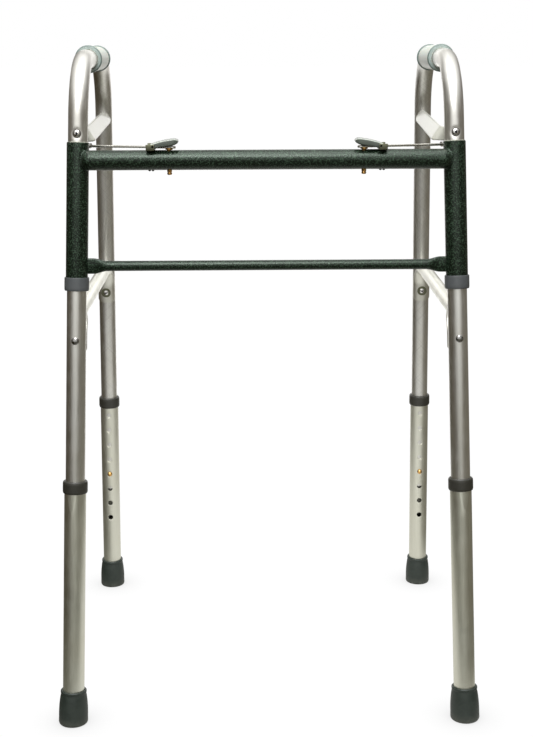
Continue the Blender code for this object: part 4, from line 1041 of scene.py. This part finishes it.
def make_paddle(label):
    """Moulded finger paddle: a crowned shell, hollow underneath, with a painted highlight along its upper
    edges.
    """
    side = SIDES[label]
    y = CROSSBAR_Y + 0.0012
    pivot_x, pivot_z = PADDLE_PIVOT
    rings = []
    for i in range(41):
        distance = mix(-PADDLE_HEEL, PADDLE_LENGTH, 1 - (1 - i / 40) ** 1.35)
        reach = (distance + PADDLE_HEEL) / (PADDLE_LENGTH + PADDLE_HEEL)
        half, bottom, top = paddle_section(distance, reach)
        half_z = (top - bottom) / 2
        ring = []
        for py, pz in rounded_outline(half, half_z, min(0.0019, half_z * 0.85)):
            across = py / half
            crown = 0.0004 * (1 - across * across) if pz > 0 else 0.0
            dish = 0.0006 * smooth_step((reach - 0.25) / 0.3) * (1 - across ** 4) if pz > 0 else 0.0
            height = pivot_z + (top + bottom) / 2 + pz + crown - dish
            ring.append(Vector((side * (pivot_x - distance), y + py, height)))
        rings.append(ring)
    bm = shell(rings, rings)
    bm.faces.ensure_lookup_table()
    for number, face in enumerate(bm.faces):
        # Faces along both upper edges of the shell take the paler plastic: a painted highlight.
        if len(face.verts) == 4 and number % 28 in (2, 3, 9, 10):
            face.material_index = 1
    paddle = to_object("finger_paddle_" + label, bm)
    ceiling = Matrix.Translation((side * pivot_x, 0, pivot_z + PADDLE_HOLLOW_TOP))
    tilt = Matrix.Rotation(side * PADDLE_HOLLOW_TILT, 4, "Y")
    closed, open_end = sorted((-side * (PADDLE_LENGTH - 0.0024), side * 0.050))
    channel = box((closed, y - 0.0112, -0.030), (open_end, y + 0.0124, 0.0))
    bmesh.ops.transform(channel, matrix=ceiling @ tilt, verts=channel.verts)
    cut(paddle, [channel])
    pivot = Vector((side * pivot_x, y, pivot_z))
    cut(paddle, [rod(pivot + Y_BACK * a, pivot + Y_BACK * b, PADDLE_PIN_RADIUS, 24)
                 for a, b in ((-0.0157, -0.0118), (0.0128, 0.0161))], "UNION")
    soften(paddle, 0.00035, 3, 45)
    place(paddle, [PADDLE, PADDLE_PAINTED_HIGHLIGHT], "paddle_" + label, ["paddle_" + label], "pale_plastic", 35)


def make_plunger(label):
    """Brass lock pin: rounded lower tip with a groove, collar, thin neck and head."""
    placement = frame_matrix(Vector((SIDES[label] * PLUNGER_X, CROSSBAR_Y, CROSSBAR_TOP)), Z_UP)
    tip = -2 * CROSSBAR_RADIUS - 0.0060
    radius, neck = PLUNGER_RADIUS, PLUNGER_NECK
    profile = [(0.0002, tip), (0.0024, tip), (radius, tip + 0.0012), (radius, tip + 0.0026),
               (0.0026, tip + 0.0030), (0.0026, tip + 0.0034), (radius, tip + 0.0038), (radius, 0.0002),
               (0.0047, 0.0004), (0.0047, 0.0024), (neck, 0.0025), (neck, 0.0086), (0.0018, 0.0095),
               (0.0002, 0.0096)]
    build("lock_pin_" + label, spin(rounded(profile, 0.0004, 4), placement, 48),
          BRASS, "plunger_" + label, ["plunger_" + label], "brass", 35)


def slot_plate(low, high, radius, bottom, top, placement):
    """A plate with round ends, from one end's centre to the other's."""
    outline = []
    for centre, start in ((high, 0), (low, 180)):
        for step in range(13):
            angle = radians(start + 180 * step / 12)
            outline.append((radius * cos(angle), centre + radius * sin(angle)))
    rings = [[placement @ Vector((x, y, z)) for x, y in outline] for z in (bottom, top)]
    return shell(rings, rings)


def make_link(label):
    """Bright slotted strip from the side's stud to the lock pin, with its guide washer."""
    foot, up, side = FRONT[label]
    plunger = Vector((side * PLUNGER_X, CROSSBAR_Y, LINK_Z + LINK_THICKNESS / 2))
    level = (plunger - foot).dot(up)
    eye = beside(FRONT[label], *LINK_EYE, level)
    direction = (plunger - eye).normalized()
    placement = frame_matrix(eye, up, direction)
    length = (plunger - eye).length
    top = LINK_THICKNESS / 2 + LINK_LIFT
    bottom = -LINK_THICKNESS / 2 - LINK_DROP
    neck = PLUNGER_NECK
    body = "link_" + label
    tail = length + LINK_TAIL - LINK_HALF_WIDTH
    strip = to_object("link_strip_" + label, slot_plate(0, tail, LINK_HALF_WIDTH, bottom, top, placement))
    slot_start = length - LINK_STROKE - 0.0012
    cut(strip, [slot_plate(slot_start, length + 0.0008, neck + 0.0005, -0.01, 0.01, placement)])
    soften(strip, 0.0010, 4, 40)
    place(strip, NICKEL, body, ["link_" + label], "zinc_steel", 30)

    stud_top = UPPER_BRACE_FRONT_Z / up.z - UPPER_BRACE_HALF_HEIGHT - level - FIT
    profile = [(0.0002, bottom - 0.0012), (0.0026, bottom - 0.0012), (0.0034, bottom - 0.0002),
               (0.0018, bottom - 0.0001), (0.0018, top), (0.0036, top), (0.0036, stud_top - 0.0003),
               (0.0030, stud_top), (0.0002, stud_top)]
    build("link_stud_pin_" + label, spin(rounded(profile, 0.0003, 3), placement, 40),
          CHROME, body, ["link_stud_" + label], "zinc_steel", 35)
    low, high = top + 0.0002, top + 0.0012
    ring = [(neck + 0.0003, low), (0.0045, low), (0.0045, high), (neck + 0.0003, high)]
    seat = frame_matrix(plunger, up, direction)
    build("link_guide_washer_" + label, ring_piece(ring, 0.0002, 3, seat, 40),
          BRASS, "link_swivel_" + label, ["link_guide_" + label], "brass", 35)


def coat_spring(name):
    """A spring is carried over from the CAD as it is and only gets its material."""
    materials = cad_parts[name].data.materials
    materials.clear()
    materials.append(SPRING)


# ---- build
make_crossbar()
make_lower_bar()
for label in SIDES:
    for make in (make_sleeve, make_bracket, make_side_tube, make_grip, make_upper_brace, make_lower_brace,
                 make_fasteners, make_paddle, make_plunger, make_link):
        make(label)
    for name, axis, facing in (("front_" + label, FRONT[label], 1), ("rear_" + label, REAR[label], -1)):
        make_leg(name, axis, facing)
        make_button(name, axis, facing)
        coat_spring("button_spring_" + name)
    coat_spring("plunger_spring_" + label)

# ---- floor, light and camera
# Glow colours of the floor that only reflections see: a painted reflection of white paper and a darker apron.
PAPER = (0.78, 0.77, 0.73)
ROOM = (0.13, 0.115, 0.092)
APRON_LEFT = (0.050, 0.040, 0.024)
APRON_MIDDLE = (0.187, 0.187, 0.156)
APRON_RIGHT = (0.16, 0.148, 0.115)
# Direction, cosine where the light starts and is full, colour: the front, the ceiling and the backdrop.
LIGHT_LOBES = (((-0.10, -0.97, 0.20), 0.67, 1.0, (1.24, 1.24, 1.21)),
               ((0.0, 0.10, 0.99), 0.25, 1.0, (1.3, 1.3, 1.28)),
               ((0.05, 0.96, 0.28), 0.90, 0.99, (0.45, 0.44, 0.42)))
# Place, target, width, height and radiance.
SOFTBOXES = {"back_panel": ((0.0, 1.15, 0.62), (0.0, 0.0, 0.50), 0.95, 1.30, 1.25),
             "key_panel": ((-0.15, -1.45, 2.20), (0.0, -0.1, 0.70), 0.80, 0.90, 12.0),
             "leg_panel": ((0.0, -0.15, 0.21), (0.0, 1.0, 0.21), 1.00, 0.40, 0.42),
             "top_panel": ((0.0, -0.45, 2.30), (0.0, -0.1, 0.70), 1.2, 1.2, 4.0)}
# The camera: turned angles in radians, and its place measured from between the front feet.
PITCH, ROLL, TURN = 0.22916, -0.00391, 0.01276
CAMERA_PLACE = (-0.00215, -1.55053, 0.88316)


def make_floor():
    """A glowing floor: plain white where seen, with a painted contact shadow near the feet.
    Reflections see a painted reflection of a white sheet that ends in front and at the sides.
    """
    g = new_material("studio_floor")
    x, y = g.part(g.place(), "X"), g.part(g.place(), "Y")
    inside = None
    for value, low, high, width in ((x, -0.20, 0.30, 0.16), (y, -0.22, 6.0, 0.25)):
        band = g.times(g.fade(value, low - width, low), g.fade(value, high + width, high))
        inside = g.times(inside, band) if inside else band
    across = g.range(x, 0.0, 1.0, -0.9, 0.9)
    painted_reflection_apron = g.ramp(across, (0.10, APRON_LEFT), (0.36, APRON_MIDDLE), (0.62, APRON_MIDDLE),
                   (0.90, APRON_RIGHT))
    reflected = g.node("Emission", {"Color": g.blend(inside, painted_reflection_apron, PAPER)}).outputs[0]
    # Painted contact shadow: ambient occlusion dims the white glow near the feet.
    painted_contact_shadow = g.node("AmbientOcclusion", {"Distance": 0.06}).outputs["AO"]
    direct = g.node("Emission", {"Strength": g.range(painted_contact_shadow, 0.62, 1.02)}).outputs[0]
    seen = g.node("LightPath").outputs["Is Camera Ray"]
    final = g.node("MixShader", {0: seen, 1: reflected, 2: direct}).outputs[0]
    g.feed(g.tree.nodes["Material Output"].inputs["Surface"], final)
    bm = bmesh.new()
    bm.faces.new([bm.verts.new((x, y, 0.0)) for x, y in ((-30, -30), (30, -30), (30, 60), (-30, 60))])
    floor = to_object("studio_floor", bm)
    floor.data.materials.append(g.owner)


def make_world():
    """A dim warm room with a light front, ceiling and backdrop; plain white where seen directly."""
    world = bpy.data.worlds.new("studio")
    bpy.context.scene.world = world
    g = Graph(world)
    g.tree.nodes.clear()
    direction = g.node("TexCoord").outputs["Generated"]
    colour = ROOM
    for aim, start, end, tint in LIGHT_LOBES:
        facing = g.vector("DOT_PRODUCT", direction, Vector(aim).normalized()).outputs["Value"]
        colour = g.blend(g.fade(facing, start, end), colour, tint)
    seen = g.node("LightPath").outputs["Is Camera Ray"]
    background = g.node("Background", {"Color": g.blend(seen, colour, (1.0, 1.0, 1.0))}).outputs[0]
    g.node("OutputWorld", {"Surface": background})


def make_softbox(name, location, target, width, height, radiance):
    light = bpy.data.lights.new(name, "AREA")
    light.shape = "RECTANGLE"
    light.size = width
    light.size_y = height
    light.energy = radiance * pi * width * height
    lamp = bpy.data.objects.new(name, light)
    lamp.location = location
    lamp.rotation_mode = "QUATERNION"
    lamp.rotation_quaternion = (Vector(target) - Vector(location)).to_track_quat("-Z", "Y")
    lamp.visible_camera = False
    bpy.context.scene.collection.objects.link(lamp)


def make_camera():
    """Standing in front of the frame, looking slightly down on it."""
    forward = Vector((0, cos(PITCH), -sin(PITCH)))
    down = Vector((0, -sin(PITCH), -cos(PITCH)))
    right = Vector((1, 0, 0))
    turned = Matrix.Rotation(-TURN, 3, "Z")
    axes = [turned @ (right * cos(ROLL) - down * sin(ROLL)), turned @ -(right * sin(ROLL) + down * cos(ROLL)),
            turned @ -forward]
    matrix = Matrix(axes).transposed().to_4x4()
    matrix.translation = turned @ Vector(CAMERA_PLACE) - Y_BACK * (FOOT_DEPTH / 2)
    data = bpy.data.cameras.new("camera")
    data.lens = 61.75
    data.sensor_width = 36.0
    data.shift_y = -0.0336
    camera = bpy.data.objects.new("camera", data)
    camera.matrix_world = matrix
    bpy.context.scene.collection.objects.link(camera)
    bpy.context.scene.camera = camera


make_floor()
make_world()
for name, values in SOFTBOXES.items():
    make_softbox(name, *values)
make_camera()
bpy.context.scene.view_settings.view_transform = "Standard"
